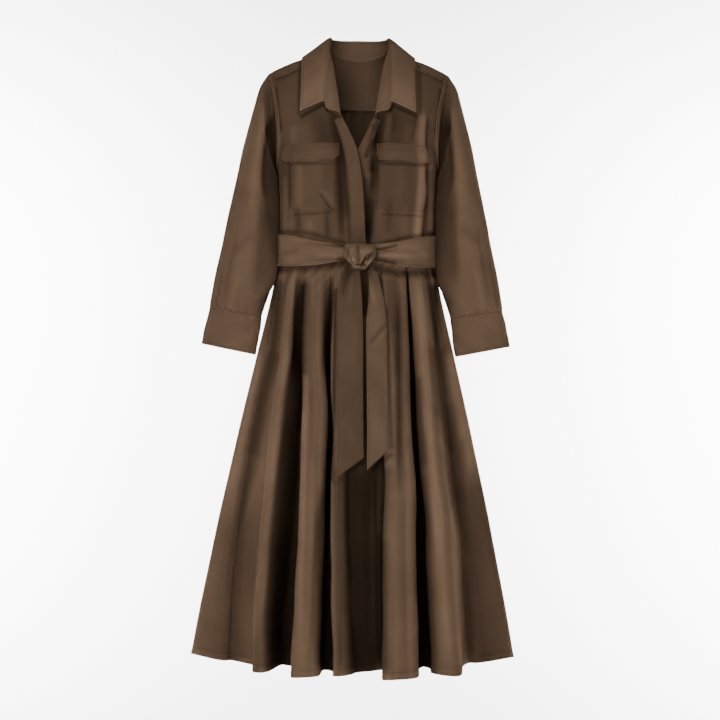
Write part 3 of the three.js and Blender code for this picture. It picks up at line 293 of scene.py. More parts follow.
# Value of one column of a table along its key column, on a smooth curve
def follow(rows, key, column, at):
    xs, ys = rows[key], rows[column]
    if xs[-1] < xs[0]:
        xs, ys = xs[::-1], ys[::-1]
    at = np.asarray(at, float)
    last = len(xs) - 1
    k = np.clip(np.searchsorted(xs, at, side="right") - 1, 0, last - 1)
    low = np.maximum(np.arange(last + 1) - 1, 0)
    high = np.minimum(np.arange(last + 1) + 1, last)
    slope = (ys[high] - ys[low]) / np.maximum(xs[high] - xs[low], 1e-6)
    span = xs[k + 1] - xs[k]
    t = np.clip((at - xs[k]) / span, 0, 1)
    t2 = t * t
    t3 = t2 * t
    return (ys[k] * (2 * t3 - 3 * t2 + 1) + ys[k + 1] * (3 * t2 - 2 * t3)
            + slope[k] * span * (t3 - 2 * t2 + t) + slope[k + 1] * span * (t3 - t2))


# Height of a set of creases at each place
def creases(rows, across, along, fade=0.25):
    names = list(rows)
    total = np.zeros(np.broadcast(across, along).shape)
    for a0, b0, a1, b1, wide, deep in zip(*(rows[name] for name in names)):
        da, db = a1 - a0, b1 - b0
        t = ((across - a0) * da + (along - b0) * db) / (da * da + db * db)
        inside = np.clip(t, 0, 1)
        gap = np.hypot(across - a0 - inside * da, along - b0 - inside * db)
        ends = smoothstep(t, -0.12, fade) * smoothstep(1 - t, -0.12, fade)
        total += deep * np.exp(-(gap / wide) ** 2) * ends
    return total


# Painted shadows and highlights: share of colour kept along a set of contact lines, such as under a flap or beside a
# layer on top
def contact(rows, grid):
    across, along = grid[..., 0], grid[..., 2]
    dark = np.zeros(across.shape)
    light = np.zeros(across.shape)
    for x0, z0, x1, z1, wide, deep in zip(*(rows[name] for name in CREASE_COLUMNS.split())):
        dx, dz = x1 - x0, z1 - z0
        t = np.clip(((across - x0) * dx + (along - z0) * dz) / (dx * dx + dz * dz), 0, 1)
        near = deep * np.exp(-((across - x0 - t * dx) ** 2 + (along - z0 - t * dz) ** 2) / wide ** 2)
        dark = np.minimum(dark, near)
        light = np.maximum(light, near)
    return np.exp(dark + light)


# A seeded slow wander, the same on each run
def wander(value, seed, pitch):
    phases = np.random.default_rng(seed).uniform(0, 2 * math.pi, 4)
    turns = (1.0, 1.73, 2.61, 4.1)
    weights = (1.0, 0.7, 0.45, 0.3)
    return sum(w * np.sin(value * 2 * math.pi * f / pitch + p) for w, f, p in zip(weights, turns, phases))


def roundness(share):
    s = np.minimum(np.abs(share), 1)
    return (1 - s ** SECTION_POWER) ** (1 / SECTION_POWER)


def section_across(degrees):
    angle = np.radians(degrees)
    return np.sign(angle) * np.abs(np.sin(angle)) ** (2 / SECTION_POWER)


def half_width(z):
    return follow(BODICE, "z", "half", z)


def degrees_at(x, z):
    share = x / half_width(z)
    s = np.minimum(np.abs(share), 1)
    return np.degrees(np.sign(share) * np.arcsin(s ** (SECTION_POWER / 2)))


def shoulder_height(x):
    return follow(SHOULDER, "x", "z", np.minimum(np.abs(x), SHOULDER["x"][-1]))


def bodice_reach(x, z, face):
    rise = np.clip(1 - (shoulder_height(x) - z) / SHOULDER_ROUND, 0, 1)
    return follow(BODICE, "z", face, z) * roundness(x / half_width(z)) * np.sqrt(1 - rise * rise)


def height_at_reach(x, reach, face):
    z = shoulder_height(x)
    for _ in range(6):
        full = follow(BODICE, "z", face, z) * roundness(x / half_width(z))
        share = np.minimum(reach / full, 1)
        z = shoulder_height(x) - SHOULDER_ROUND * (1 - np.sqrt(1 - share * share))
    return z


def front_fold(x, z):
    depth = 0.0
    for fx, fz, lean, wide, long, deep in zip(*FRONT_FOLDS.values()):
        across = (x - fx - lean * (z - fz)) / wide
        along = (z - fz) / long
        depth = depth + deep * np.exp(-across * across - along * along)
    return depth


# Gathers of the back under the yoke and above the waist, unevenly spaced
def back_fold(x, z):
    under_yoke = 3.4 * np.exp(-(((z - YOKE_BACK_Z) / 90) ** 2) - (x / 70) ** 2)
    above_waist = 2.2 * np.exp(-(((z - WAIST_Z) / 80) ** 2))
    clear_of_sides = np.maximum(1 - (x / 150) ** 2, 0)
    place = x / 5.2 + 0.5 * wander(x, 3, 90)
    return (under_yoke + above_waist) * clear_of_sides * np.sin(place)


def front_surface(side, folds=1.0):
    def at(degrees, z):
        x = half_width(z) * section_across(degrees)
        y = -bodice_reach(x, z, "front") + folds * front_fold(x, z) - SEAM_GAP / 2
        if side > 0:
            edge = follow(UPPER_EDGE, "z", "x", z)
            closed = smoothstep(V_POINT - z, -25, 5)
            y = y + 5.4 * closed * (1 - smoothstep(x, edge + 2, edge + 26))
        return np.stack([x, y, z + 0 * x], -1)
    return at


def back_surface(degrees, z):
    x = half_width(z) * section_across(degrees)
    y = bodice_reach(x, z, "back") - back_fold(x, z) + SEAM_GAP / 2
    return np.stack([x, y, z + 0 * x], -1)


def armhole_x(z):
    mid = (SLEEVE["outZ"][0] + SLEEVE["inZ"][0]) / 2
    up = np.clip((z - mid) / ((SLEEVE["outZ"][0] - SLEEVE["inZ"][0]) / 2), -1, 1)
    middle = (SLEEVE["outX"][0] + SLEEVE["inX"][0]) / 2
    reach = (SLEEVE["outX"][0] - SLEEVE["inX"][0]) / 2
    return middle + up * reach - ARMHOLE_HOLLOW * (1 - up * up)


def panel_side_x(z):
    return np.where(z <= SLEEVE["inZ"][0], half_width(z), armhole_x(z))


def yoke_surface(x, degrees):
    turn = np.radians(degrees)
    z = shoulder_height(x) - SHOULDER_ROUND * (1 - np.cos(turn))
    across = roundness(x / half_width(z)) * np.sin(turn)
    reach = np.where(turn < 0, follow(BODICE, "z", "front", z), follow(BODICE, "z", "back", z)) * across
    return np.stack([x + 0 * z, reach, z], -1)


def turn_at_height(x, z):
    return np.degrees(np.arccos(np.clip(1 - (shoulder_height(x) - z) / SHOULDER_ROUND, -1, 1)))


def front_seam_height(x):
    place = np.clip(x, SEAM_INNER, SEAM_OUTER)
    return height_at_reach(x, follow(YOKE_FRONT_SEAM, "x", "y", place), "front")


# Directions that point out of the garment
def from_axis(grid):
    return grid * (1, 1, 0)


def forwards(grid):
    return np.broadcast_to((0.0, -1.0, 0.0), grid.shape)


def up_and_out(grid):
    return np.stack([0 * grid[..., 0], grid[..., 1], 120 + 0 * grid[..., 0]], -1)


def normals_of(grid, away, closed=False):
    if closed:
        across = np.roll(grid, -1, 1) - np.roll(grid, 1, 1)
    else:
        across = np.gradient(grid, axis=1)
    normals = unit(np.cross(across, np.gradient(grid, axis=0)))
    return normals if np.sum(normals * away(grid)) > 0 else -normals


def arc_lengths(grid, axis, closed=False):
    steps = np.linalg.norm(np.diff(grid, axis=axis), axis=-1)
    lengths = np.cumsum(steps, axis=axis)
    start = np.zeros_like(np.take(lengths, [0], axis=axis))
    return np.concatenate([start, lengths], axis=axis)


SURFACES = {}       # outer grid and normals of each piece, for its stitching


def new_object(name, mesh):
    piece = bpy.data.objects.new(name, mesh)
    scene.collection.objects.link(piece)
    return piece


def fill_mesh(name, coords, quads, uvs, edge, shade):
    mesh = bpy.data.meshes.new(name)
    mesh.vertices.add(len(coords))
    mesh.vertices.foreach_set("co", (coords * MM).astype(np.float32).ravel())
    mesh.loops.add(quads.size)
    mesh.loops.foreach_set("vertex_index", quads.astype(np.int32).ravel())
    mesh.polygons.add(len(quads))
    mesh.polygons.foreach_set("loop_start", np.arange(0, quads.size, 4, dtype=np.int32))
    mesh.polygons.foreach_set("use_smooth", np.ones(len(quads), bool))
    mesh.update(calc_edges=True)
    layer = mesh.uv_layers.new(name="cloth")
    layer.data.foreach_set("uv", (uvs[quads.ravel()] * MM).astype(np.float32).ravel())
    attribute = mesh.attributes.new("edge", "FLOAT", "POINT")
    attribute.data.foreach_set("value", (edge * MM).astype(np.float32))
    attribute = mesh.attributes.new("shade", "FLOAT", "POINT")
    attribute.data.foreach_set("value", shade.astype(np.float32))
    return mesh


# Rows of a seam allowance, folded in behind the border and under the neighbouring piece
def allowance(border, beyond, normals, deep, reach):
    out = unit(border - beyond)
    return [border + out * (reach * along) - normals * (deep * down)
            for along, down in ((0.05, 0.45), (0.2, 1.0), (1.0, 1.0))]


def add_allowances(grid, normals, allowances, *others):
    sides = {"first": ((3, 0), (0, 0)), "last": ((0, 3), (0, 0)), "left": ((0, 0), (3, 0)), "right": ((0, 0), (0, 3))}
    for where, (deep, reach) in allowances.items():
        others = [np.pad(values, sides[where], mode="edge") for values in others]
        flip = where in ("left", "right")
        g, n = (np.swapaxes(a, 0, 1) for a in (grid, normals)) if flip else (grid, normals)
        if where in ("first", "left"):
            rows = allowance(g[0], g[1], n[0], deep, reach)
            g = np.concatenate([np.stack(rows[::-1]), g])
            n = np.concatenate([n[:1]] * 3 + [n])
        else:
            rows = allowance(g[-1], g[-2], n[-1], deep, reach)
            g = np.concatenate([g, np.stack(rows)])
            n = np.concatenate([n] + [n[-1:]] * 3)
        grid, normals = (np.swapaxes(a, 0, 1) for a in (g, n)) if flip else (g, n)
    return grid, normals, *others


# A thin closed shell on a grid of points, rows of columns.
# allowances names the borders that are folded in under a neighbour: how deep and how far.
# shade is the painted light and shade multiplied into the colour of each place; the sculpt adds painted shade in
# troughs and a painted highlight on raised ridges.
# within is the same for its inner face alone.
def shell(name, grid, lift, thick, away, closed=False, sculpt=None, allowances=None, shade=1.0, within=1.0):
    normals = normals_of(grid, away, closed)
    here = grid.shape[:2]
    shade = np.broadcast_to(np.asarray(shade, float), here)
    if sculpt is not None:
        sculpt = np.broadcast_to(sculpt, here)
        grid = grid + normals * sculpt[..., None]
        normals = normals_of(grid, away, closed)
        # Painted shade in troughs and a painted highlight on ridges, from the sculpted height
        shade = shade * (1 + 0.085 * np.clip(sculpt, -7, 5))
    lift = np.broadcast_to(np.asarray(lift, float), here)
    SURFACES[name] = (grid + normals * (lift + thick)[..., None], normals)
    within = np.broadcast_to(np.asarray(within, float), here)
    if allowances:
        grid, normals, lift, shade, within = add_allowances(grid, normals, allowances, lift, shade, within)
        fresh = normals_of(grid, away, closed)
        facing = np.sum(fresh * normals, -1, keepdims=True)
        normals = unit(np.where(facing > 0.2, fresh, normals))
    inner = grid + normals * lift[..., None]
    outer = grid + normals * (lift + thick)[..., None]
    rows, columns = grid.shape[:2]
    along = arc_lengths(outer, 0)
    ring = np.concatenate([outer, outer[:, :1]], 1) if closed else outer
    around = arc_lengths(ring, 1)
    total = around[:, -1:]
    around = around[:, :columns]
    edge = np.minimum(along, along[-1:] - along)
    if not closed:
        edge = np.minimum(edge, np.minimum(around, total - around))
    middle = total.mean() * around / np.maximum(total, 1e-6)
    uvs = np.stack([middle, along], -1)
    uvs = np.concatenate([uvs.reshape(-1, 2)] * 2)
    ids = np.arange(rows * columns).reshape(rows, columns)
    if closed:
        ids = np.concatenate([ids, ids[:, :1]], 1)
    a, b, c, d = ids[:-1, :-1], ids[:-1, 1:], ids[1:, 1:], ids[1:, :-1]
    outside = np.stack([a, b, c, d], -1).reshape(-1, 4) + rows * columns
    inside = np.stack([a, d, c, b], -1).reshape(-1, 4)
    faces = [outside, inside]
    step = rows * columns
    low, high = ids[0], ids[-1]
    faces.append(np.stack([low[:-1], low[1:], low[1:] + step, low[:-1] + step], -1))
    faces.append(np.stack([high[1:], high[:-1], high[:-1] + step, high[1:] + step], -1))
    if not closed:
        left, right = ids[:, 0], ids[:, -1]
        faces.append(np.stack([left[1:], left[:-1], left[:-1] + step, left[1:] + step], -1))
        faces.append(np.stack([right[:-1], right[1:], right[1:] + step, right[:-1] + step], -1))
    quads = np.concatenate(faces)
    coords = np.concatenate([inner.reshape(-1, 3), outer.reshape(-1, 3)])
    corner = coords[outside]
    facing = np.cross(corner[:, 1] - corner[:, 0], corner[:, 3] - corner[:, 0])
    if np.sum(facing * normals.reshape(-1, 3)[outside[:, 0] - step]) < 0:
        quads = quads[:, ::-1]
    edges = np.concatenate([edge.ravel()] * 2)
    shades = np.concatenate([(shade * within).ravel(), shade.ravel()])
    return new_object(name, fill_mesh(name, coords, quads, uvs, edges, shades))


# Param grids of a front: degrees round the section and height, from the edge out to the side
FRONT_SHARES = np.unique(np.concatenate([np.linspace(0, 1, 116), [0.07, 0.348]]))
FRONT_STEPS = np.unique(np.concatenate([np.linspace(0, 4, 25), np.linspace(4, 14, 61)]))


def front_pairs(side, edge_table, band_table):
    seam_in = front_seam_height(SEAM_INNER) - SEAM_GAP
    seam_out = front_seam_height(SEAM_OUTER) - SEAM_GAP
    floor = WAIST_Z + SEAM_GAP / 2
    z_in = mix(seam_in, floor, FRONT_SHARES)
    z_out = mix(seam_out, floor, FRONT_SHARES)
    edge = np.where(
        z_in < BAND_TOP_Z,
        follow(edge_table, "z", "x", z_in),
        side * follow(NECKLINE, "z", "x", z_in),
    )
    band = follow(band_table, "z", "wide", np.minimum(z_in, BAND_TOP_Z))
    inner = [0 * band, band / 2, band, band + 9, band + 19]
    marks = [degrees_at(edge + side * step, z_in) for step in inner]
    end = side * degrees_at(panel_side_x(z_out), z_out)
    marks += [mix(marks[4], end, i / 10) for i in range(1, 11)]
    marks = np.stack(marks, 1)
    place = np.arange(15)
    degrees = np.stack([np.interp(FRONT_STEPS, place, row) for row in marks])
    first = marks[:, :1]
    level = mix(z_in[:, None], z_out[:, None], (degrees - first) / (end[:, None] - first))
    x = np.abs(front_surface(side)(degrees[:1], level[:1])[..., 0])
    tight = smoothstep(x, 150, SEAM_OUTER)
    seam_z = front_seam_height(x) - SEAM_GAP - 5 * SEAM_GAP * tight
    seam_degrees = side * degrees_at(x, seam_z)
    from_seam = smoothstep(FRONT_SHARES, 0, 0.07)[:, None]
    near = from_seam < 1
    start_z = np.broadcast_to(seam_z, level.shape)
    start_degrees = np.broadcast_to(seam_degrees, level.shape)
    degrees = np.where(near, mix(start_degrees, degrees, from_seam), degrees)
    level = np.where(near, mix(start_z, level, from_seam), level)
    return degrees, level


# Painted shade: the fronts' colour is darkened, as they face a little down and keep less light than the skirt's folds
FRONT_SHADE = {"right": 0.72, "left": 0.68}


def make_fronts():
    pieces = []
    top = int(np.searchsorted(FRONT_SHARES, 0.348))
    wide = int(np.searchsorted(FRONT_STEPS, 2.0)) + 1
    for word, side, edge_table, band_table in (
        ("right", -1, UPPER_EDGE, UPPER_BAND), ("left", 1, UNDER_EDGE, UNDER_BAND),
    ):
        degrees, level = front_pairs(side, edge_table, band_table)
        grid = front_surface(side)(degrees, level)
        beside_seam = smoothstep(FRONT_SHARES, 0.0, 0.08)[:, None] * smoothstep(FRONT_STEPS, 0, 3)
        to_side = smoothstep(14 - FRONT_STEPS, 0, 0.8)
        sculpt = creases(FRONT_CREASES, grid[..., 0], grid[..., 2]) * beside_seam * to_side
        tucked = {"first": (2.4, 6), "last": (2.4, 8), "right": (2.4, 3)}
        name = f"cloth_front_{word}"
        # Painted shade on the fronts, with painted shadows beside the collar, flaps, pockets, placket and belt and
        # painted highlights on ridges
        shadows = OVER_PLACKET if side < 0 else UNDER_PLACKET
        shade = FRONT_SHADE[word] * contact(UPPER_SHADOWS, grid) * contact(shadows, grid)
        pieces.append(shell(name, grid, 0, WALL, from_axis, sculpt=sculpt, allowances=tucked, shade=shade))
        normals = normals_of(grid, from_axis)
        band = (grid + normals * sculpt[..., None])[top:, :wide]
        t = np.linspace(0, 1, wide)
        lift = WALL + SEAM_GAP + 1.2 * np.sin(math.pi * t) ** 0.5
        lift = np.broadcast_to(lift, band.shape[:2])
        # Painted shade on the plackets, with painted shadows on the under placket
        shade = FRONT_SHADE[word] * (1 if side < 0 else contact(UNDER_PLACKET, band))
        pieces.append(shell(f"cloth_placket_{word}", band, lift, LAYER, from_axis, shade=shade))
    return pieces


def make_back():
    shares = np.linspace(0, 1, 104)
    z = mix(YOKE_BACK_Z - SEAM_GAP, WAIST_Z + SEAM_GAP / 2, shares)
    side = degrees_at(panel_side_x(z), z)
    across = np.linspace(-1, 1, 121)
    degrees = side[:, None] * across
    level = np.broadcast_to(z[:, None], degrees.shape)
    grid = back_surface(degrees, level)
    inside = smoothstep(1 - np.abs(across), 0, 0.08)
    sculpt = creases(BACK_CREASES, grid[..., 0], grid[..., 2]) * inside
    tucked = {"last": (2.4, 8)}
    # Painted shade on the back's inner face, darker towards positive x
    within = 0.72 - 0.3 * smoothstep(grid[..., 0], -40, 60)
    return shell("cloth_back", grid, 0, WALL, from_axis, sculpt=sculpt, allowances=tucked, within=within)


YOKE_COLUMNS = np.array([186, 176, 161, 143, 124, 105, 88, 74, 66, 61, 56, 46, 32, 16], float)


def make_yoke():
    columns = np.concatenate([-YOKE_COLUMNS, [0], YOKE_COLUMNS[::-1]])
    size = np.abs(columns)
    back_y = follow(YOKE_NECK, "x", "y", np.minimum(size, 59.9))
    neck_z = height_at_reach(size, back_y, "back")
    rows = np.linspace(0, 1, 49)[:, None]
    x = np.broadcast_to(columns, (len(rows), len(columns))).astype(float)
    inner = YOKE_COLUMNS[5]
    share = np.clip((size - inner) / (YOKE_COLUMNS[0] - inner), 0, 1)
    for _ in range(3):
        start = turn_at_height(x, YOKE_BACK_Z)
        seam = -turn_at_height(x, front_seam_height(np.abs(x)))
        end = np.where(size >= SEAM_INNER, seam, turn_at_height(x, neck_z))
        turn = mix(start, end, rows)
        z = yoke_surface(x, turn)[..., 2]
        x = np.where(size <= inner, columns, np.sign(columns) * mix(inner, armhole_x(z), share))
    dense = np.linspace(0, len(columns) - 1, 6 * (len(columns) - 1) + 1)
    place = np.arange(len(columns))
    x = np.stack([np.interp(dense, place, row) for row in x])
    turn = np.stack([np.interp(dense, place, row) for row in turn])
    grid = yoke_surface(x, turn)
    # Painted shadows and highlights on the yoke's front, and painted shade on its inner face, darker towards positive x
    shade = np.where(grid[..., 1] < 0, contact(UPPER_SHADOWS, grid), 1)
    within = 1.1 - 0.45 * smoothstep(grid[..., 0], 10, 60)
    tucked = {"first": (5.0, 9)}
    return shell("cloth_yoke", grid, 0, WALL, up_and_out, allowances=tucked, shade=shade, within=within)


def chamfered_bottom(shape, x):
    corner = np.minimum(x - shape["inner"], shape["outer"] - x)
    return shape["bottom"] + np.maximum(shape["chamfer"] - corner, 0)


def patch_x(shape, count):
    inner, outer, cut = shape["inner"], shape["outer"], shape["chamfer"]
    return np.concatenate([
        np.linspace(inner, inner + cut, 7)[:-1],
        np.linspace(inner + cut, outer - cut, count),
        np.linspace(outer - cut, outer, 7)[1:],
    ])


def make_patch(side, shape, wave=0.0):
    x = patch_x(shape, 46)
    t = np.linspace(0, 1, 48)[:, None]
    bottom = chamfered_bottom(shape, x)
    z = mix(shape["top"], bottom, t) + wave * t * wander(x, 5 + side, 130)
    xs = side * np.broadcast_to(x, z.shape)
    grid = front_surface(side, 0.0)(degrees_at(xs, z), z)
    sculpt = creases(FRONT_CREASES, grid[..., 0], grid[..., 2])
    return grid, sculpt, x, t


def make_pocket(word, side):
    grid, sculpt, x, t = make_patch(side, POCKET)
    across = (x - POCKET["inner"]) / (POCKET["outer"] - POCKET["inner"])
    puff = 2.6 * np.sin(math.pi * across) ** 0.6 * np.sin(math.pi * np.clip(t * 1.0, 0, 1)) ** 0.6
    # Painted shade on the pockets, the left one darker, with painted shadows round them
    shade = (FRONT_SHADE[word] - (0.08 if side > 0 else 0)) * contact(UPPER_SHADOWS, grid) ** 0.8
    return shell(f"cloth_pocket_{word}", grid, WALL + PATCH_GAP + puff, LAYER, forwards, sculpt=sculpt, shade=shade)


def make_flap(word, side):
    grid, sculpt, x, t = make_patch(side, FLAP, wave=0.8)
    over_pocket = (LAYER + 2 * PATCH_GAP - SEAM_GAP + 2.4) * np.minimum(2 * t, 1)
    spring = 4.0 * t ** 2
    lift = np.broadcast_to(WALL + SEAM_GAP + over_pocket + spring, grid.shape[:2])
    # Painted shade on the flaps, a little lighter than on the fronts
    return shell(f"cloth_flap_{word}", grid, lift, LAYER, forwards, sculpt=sculpt, shade=FRONT_SHADE[word] + 0.1)


def collar_guide(line, at):
    side = np.where(at < 0, -1.0, 1.0)
    x, y, z = (follow(COLLAR, "at", line + axis, np.abs(at)) for axis in "XYZ")
    return np.stack([side * x, y, z], -1)


def surface_normals(surface, u, v):
    step = 0.4
    along_u = surface(u + step, v) - surface(u - step, v)
    along_v = surface(u, v + step) - surface(u, v - step)
    normals = unit(np.cross(along_u, along_v))
    facing = np.sum(normals * up_and_out(surface(u, v)), -1, keepdims=True)
    return np.where(facing < 0, -normals, normals)


def neck_seam(at):
    side = np.where(at < 0, -1.0, 1.0)
    place = np.abs(at)
    last = YOKE_NECK["at"][-1]
    x = side * follow(YOKE_NECK, "at", "x", place)
    y = follow(YOKE_NECK, "at", "y", place)
    z = np.where(y < 0, height_at_reach(x, np.abs(y), "front"), height_at_reach(x, np.abs(y), "back"))
    turn = np.sign(y) * turn_at_height(x, z)
    points = yoke_surface(x, turn)
    normals = surface_normals(yoke_surface, x, turn)
    down = np.clip((place - last) / (1 - last), 0, 1)
    front_z = mix(front_seam_height(YOKE_NECK["x"][-1]), BAND_TOP_Z + 1, down)
    neck_x = follow(NECKLINE, "z", "x", front_z)
    for sign in (-1, 1):
        surface = front_surface(sign)
        degrees = degrees_at(sign * neck_x, front_z)
        here = ((place > last) & (side == sign))[..., None]
        points = np.where(here, surface(degrees, front_z), points)
        normals = np.where(here, surface_normals(surface, degrees, front_z), normals)
    lift = WALL + 1.5 + LAYER * smoothstep(place, 0.5, 0.7)
    return points + normals * lift[..., None]


STAND_END = 10.0


def make_collar():
    at = np.linspace(-1, 1, 141)
    place = np.abs(at)
    roll = collar_guide("roll", at)
    roll[:, 0] += 4.5 * smoothstep(-at, 0.4, 0.52) * smoothstep(1 + at, 0.02, 0.3)
    edge = collar_guide("edge", at)
    seam = neck_seam(at)
    t = np.linspace(0, 1, 22)[:, None]
    stand = mix(seam[None], roll[None], t[..., None])
    stand[..., 1] -= 3 * np.sin(math.pi * t) * smoothstep(place, 0.6, 0.9)
    out_of_neck = lambda grid: np.stack([0 * grid[..., 0], (grid[..., 1] > 0) * 1.0, 0 * grid[..., 0]], -1)
    # Each end of the stand is rounded off below the roll
    steps = np.linspace(0, 1, 7)[1:]
    ends = {}
    for sign, column in ((-1, stand[:, 0]), (1, stand[:, -1])):
        drop = STAND_END * np.sin(math.pi * np.clip(t[:, 0], 0.01, 0.99) ** 1.6)
        way = np.array([0.6 * sign, -0.1, -0.8])
        ends[sign] = np.stack([column + way * (drop * step)[:, None] for step in steps], 1)
    rounded = np.concatenate([ends[-1][:, ::-1], stand, ends[1]], 1)
    pieces = [shell("cloth_collar_stand", rounded, 0, LAYER, out_of_neck)]
    along = unit(edge - roll)
    start = roll + along * 0.6
    start[..., 2] += SEAM_GAP + (1 - place) * 1.8
    t = np.linspace(0, 1, 34)[:, None]
    fall = mix(start[None], edge[None], t[..., None])
    bulge = np.sin(math.pi * np.sqrt(t))
    fall[..., 2] += 7 * bulge * (1 - place)
    fall[..., 1] += np.sign(0.35 - place) * 3 * bulge
    # The fall rolls over the top of the stand
    fall_normal = normals_of(fall, up_and_out)[0]
    stand_normal = normals_of(stand, out_of_neck)[-1]
    down = unit(seam - roll)
    end = roll + down * 1.6 - stand_normal * 0.6
    bend = roll + fall_normal * 1.6 - stand_normal * 0.8 + (0, 0, 0.6)
    s = np.linspace(0, 1, 8)[:-1, None, None]
    curl = end * (1 - s) ** 2 + bend * 2 * s * (1 - s) + fall[0] * s ** 2
    fall = np.concatenate([curl, fall])
    # The fall's colour is lightened by a painted highlight
    pieces.append(shell("cloth_collar_fall", fall, 0, LAYER, up_and_out, shade=1.2))
    return pieces


def ring_points(rows, k, turn, side, forward):
    values = {name: follow(rows, "k", name, k) for name in ("outX", "outZ", "inX", "inZ", "deep")}
    up = np.cos(turn)
    x = (values["outX"] + values["inX"]) / 2 + up * (values["outX"] - values["inX"]) / 2
    z = (values["outZ"] + values["inZ"]) / 2 + up * (values["outZ"] - values["inZ"]) / 2
    y = -values["deep"] * np.sin(turn) - forward
    return np.stack([side * x, y, z + 0 * x], -1)


def armhole_points(turn, side):
    up = np.cos(turn)
    x = (SLEEVE["outX"][0] + SLEEVE["inX"][0]) / 2 + up * (SLEEVE["outX"][0] - SLEEVE["inX"][0]) / 2
    x = x - ARMHOLE_HOLLOW * np.sin(turn) ** 2
    z = (SLEEVE["outZ"][0] + SLEEVE["inZ"][0]) / 2 + up * (SLEEVE["outZ"][0] - SLEEVE["inZ"][0]) / 2
    reach = np.where(np.sin(turn) >= 0, -bodice_reach(x, z, "front"), bodice_reach(x, z, "back"))
    x = x + 1.0 + (1 - up) / 2
    return np.stack([side * x, reach, z], -1)


RING_PITCH = 60.0   # degrees round the sleeve that are as long as one ring's pitch
SLEEVE_AROUND = 176
SLEEVE_ALONG = 96


def make_sleeve(word, side):
    k = np.linspace(0, 11, SLEEVE_ALONG)[:, None]
    turn = (2 * math.pi * np.arange(SLEEVE_AROUND) / SLEEVE_AROUND)[None, :]
    rings = ring_points(SLEEVE, np.maximum(k, 0.0), turn, side, CUFF_FORWARD * (k / 11) ** 2)
    start = armhole_points(turn, side)
    ease = (1 - (1 - np.clip(k, 0, 1)) ** 2)[..., None]
    grid = mix(start, rings, ease)
    degrees = np.degrees(turn)
    # The inner side bellies out and rests against the body down to the waist
    reach = (13.0 if side < 0 else 12.0) + 5.0 * smoothstep(k, 1.8, 3.6) + 4.0 * smoothstep(k, 6.0, 7.2)
    belly = reach * np.exp(-((degrees - 147) / 20) ** 2) + 4.5 * np.exp(-((degrees - 185) / 25) ** 2)
    grid[..., 0] -= side * belly * smoothstep(k, 0.6, 2.0) * smoothstep(9.4 - k, 0, 1.8)
    shift = 0.0 if side < 0 else 6.0
    sculpt = creases(SLEEVE_CREASES, degrees + shift, k * RING_PITCH * (1 if side < 0 else 1.04))
    reach = 0.55 + 0.22 * wander(degrees, 15 + side, 200)
    gather = np.exp(-((11 - k) / np.maximum(reach, 0.25)) ** 2) * smoothstep(11 - k, 0, 0.12)
    outside = 0.35 + 0.65 * np.exp(-((degrees - 62) / 42) ** 2) + 0.5 * np.exp(-((degrees - 290) / 40) ** 2)
    place = degrees / 360 * 2 * math.pi * 24 + 1.2 * wander(degrees, 8 + side, 120)
    sculpt = sculpt + 1.5 * outside * gather * np.sin(place)
    sculpt = sculpt * smoothstep(k, 0, 0.5)

    def centre(g):
        axis_x = side * mix(200, 255, np.clip(-g[..., 2] / 560, 0, 1))
        return np.stack([g[..., 0] - axis_x, g[..., 1], 0 * axis_x], -1)

    tucked = {"first": (3.0, 7), "last": (2.4, 5)}
    name = f"cloth_sleeve_{word}"
    # Painted shade: the inner side, which lies against the body, is darkened, and so is a band just below the armhole
    # seam
    begin = 72 + 6.4 * k - (14 if side > 0 else 0)
    blur = 12 + 3.0 * k + (18 if side > 0 else 0)
    around = np.minimum(degrees, 360 - degrees)
    beside_body = smoothstep(around, begin, begin + blur)
    shade = 1 - 0.62 * beside_body * smoothstep(11.4 - k, 0, 4) * smoothstep(k, 0, 0.3)
    shade = shade * (1 - 0.42 * np.exp(-((k - 0.4) / 0.3) ** 2) * smoothstep(around, 22, 55))
    return shell(name, grid, 0, WALL, centre, closed=True, sculpt=sculpt, allowances=tucked, shade=shade)


def make_cuff(word, side):
    k = np.linspace(0, 3, 40)[:, None]
    turn = (2 * math.pi * np.arange(150) / 150)[None, :]
    grid = ring_points(CUFF, k, turn, side, CUFF_FORWARD)
    centre = lambda g: np.stack([g[..., 0] - side * 258, (g[..., 1] + CUFF_FORWARD) * 2, 0 * g[..., 0]], -1)
    degrees = np.degrees(turn)
    sculpt = 0.5 * wander(degrees + 40 * k, 12 + side, 200) * smoothstep(k, 0, 1) * smoothstep(3 - k, 0, 0.4)
    return shell(f"cloth_cuff_{word}", grid, 0, WALL, centre, closed=True, sculpt=sculpt)


def skirt_half(z):
    return follow(SKIRT, "z", "half", z)


def fold_x(waist, middle, hem, z):
    rows = table(
        "z share",
        (HEM_Z, hem / skirt_half(HEM_Z)), (SKIRT_MIDDLE_Z, middle / skirt_half(SKIRT_MIDDLE_Z)),
        (WAIST_Z, waist / skirt_half(WAIST_Z)),
    )
    return follow(rows, "z", "share", z) * skirt_half(z)


# A smooth curve through points, evenly stepped between each two of them
def through(points, steps):
    first = 2 * points[0] - points[1]
    final = 2 * points[-1] - points[-2]
    padded = np.concatenate([[first], points, [final]])
    gaps = np.maximum(np.linalg.norm(np.diff(padded, axis=0), axis=-1), 1e-4) ** 0.5
    p0, p1, p2, p3 = padded[:-3], padded[1:-2], padded[2:-1], padded[3:]
    d0, d1, d2 = gaps[:-2, None], gaps[1:-1, None], gaps[2:, None]
    t1 = ((p1 - p0) / d0 - (p2 - p0) / (d0 + d1) + (p2 - p1) / d1) * d1
    t2 = ((p2 - p1) / d1 - (p3 - p1) / (d1 + d2) + (p3 - p2) / d2) * d1
    t = (np.arange(steps) / steps)[None, :, None]
    a, b = p1[:, None], p2[:, None]
    t1, t2 = t1[:, None], t2[:, None]
    curve = a + t1 * t + (-3 * a + 3 * b - 2 * t1 - t2) * t ** 2 + (2 * a - 2 * b + t1 + t2) * t ** 3
    return np.concatenate([curve.reshape(-1, points.shape[1]), points[-1:]])
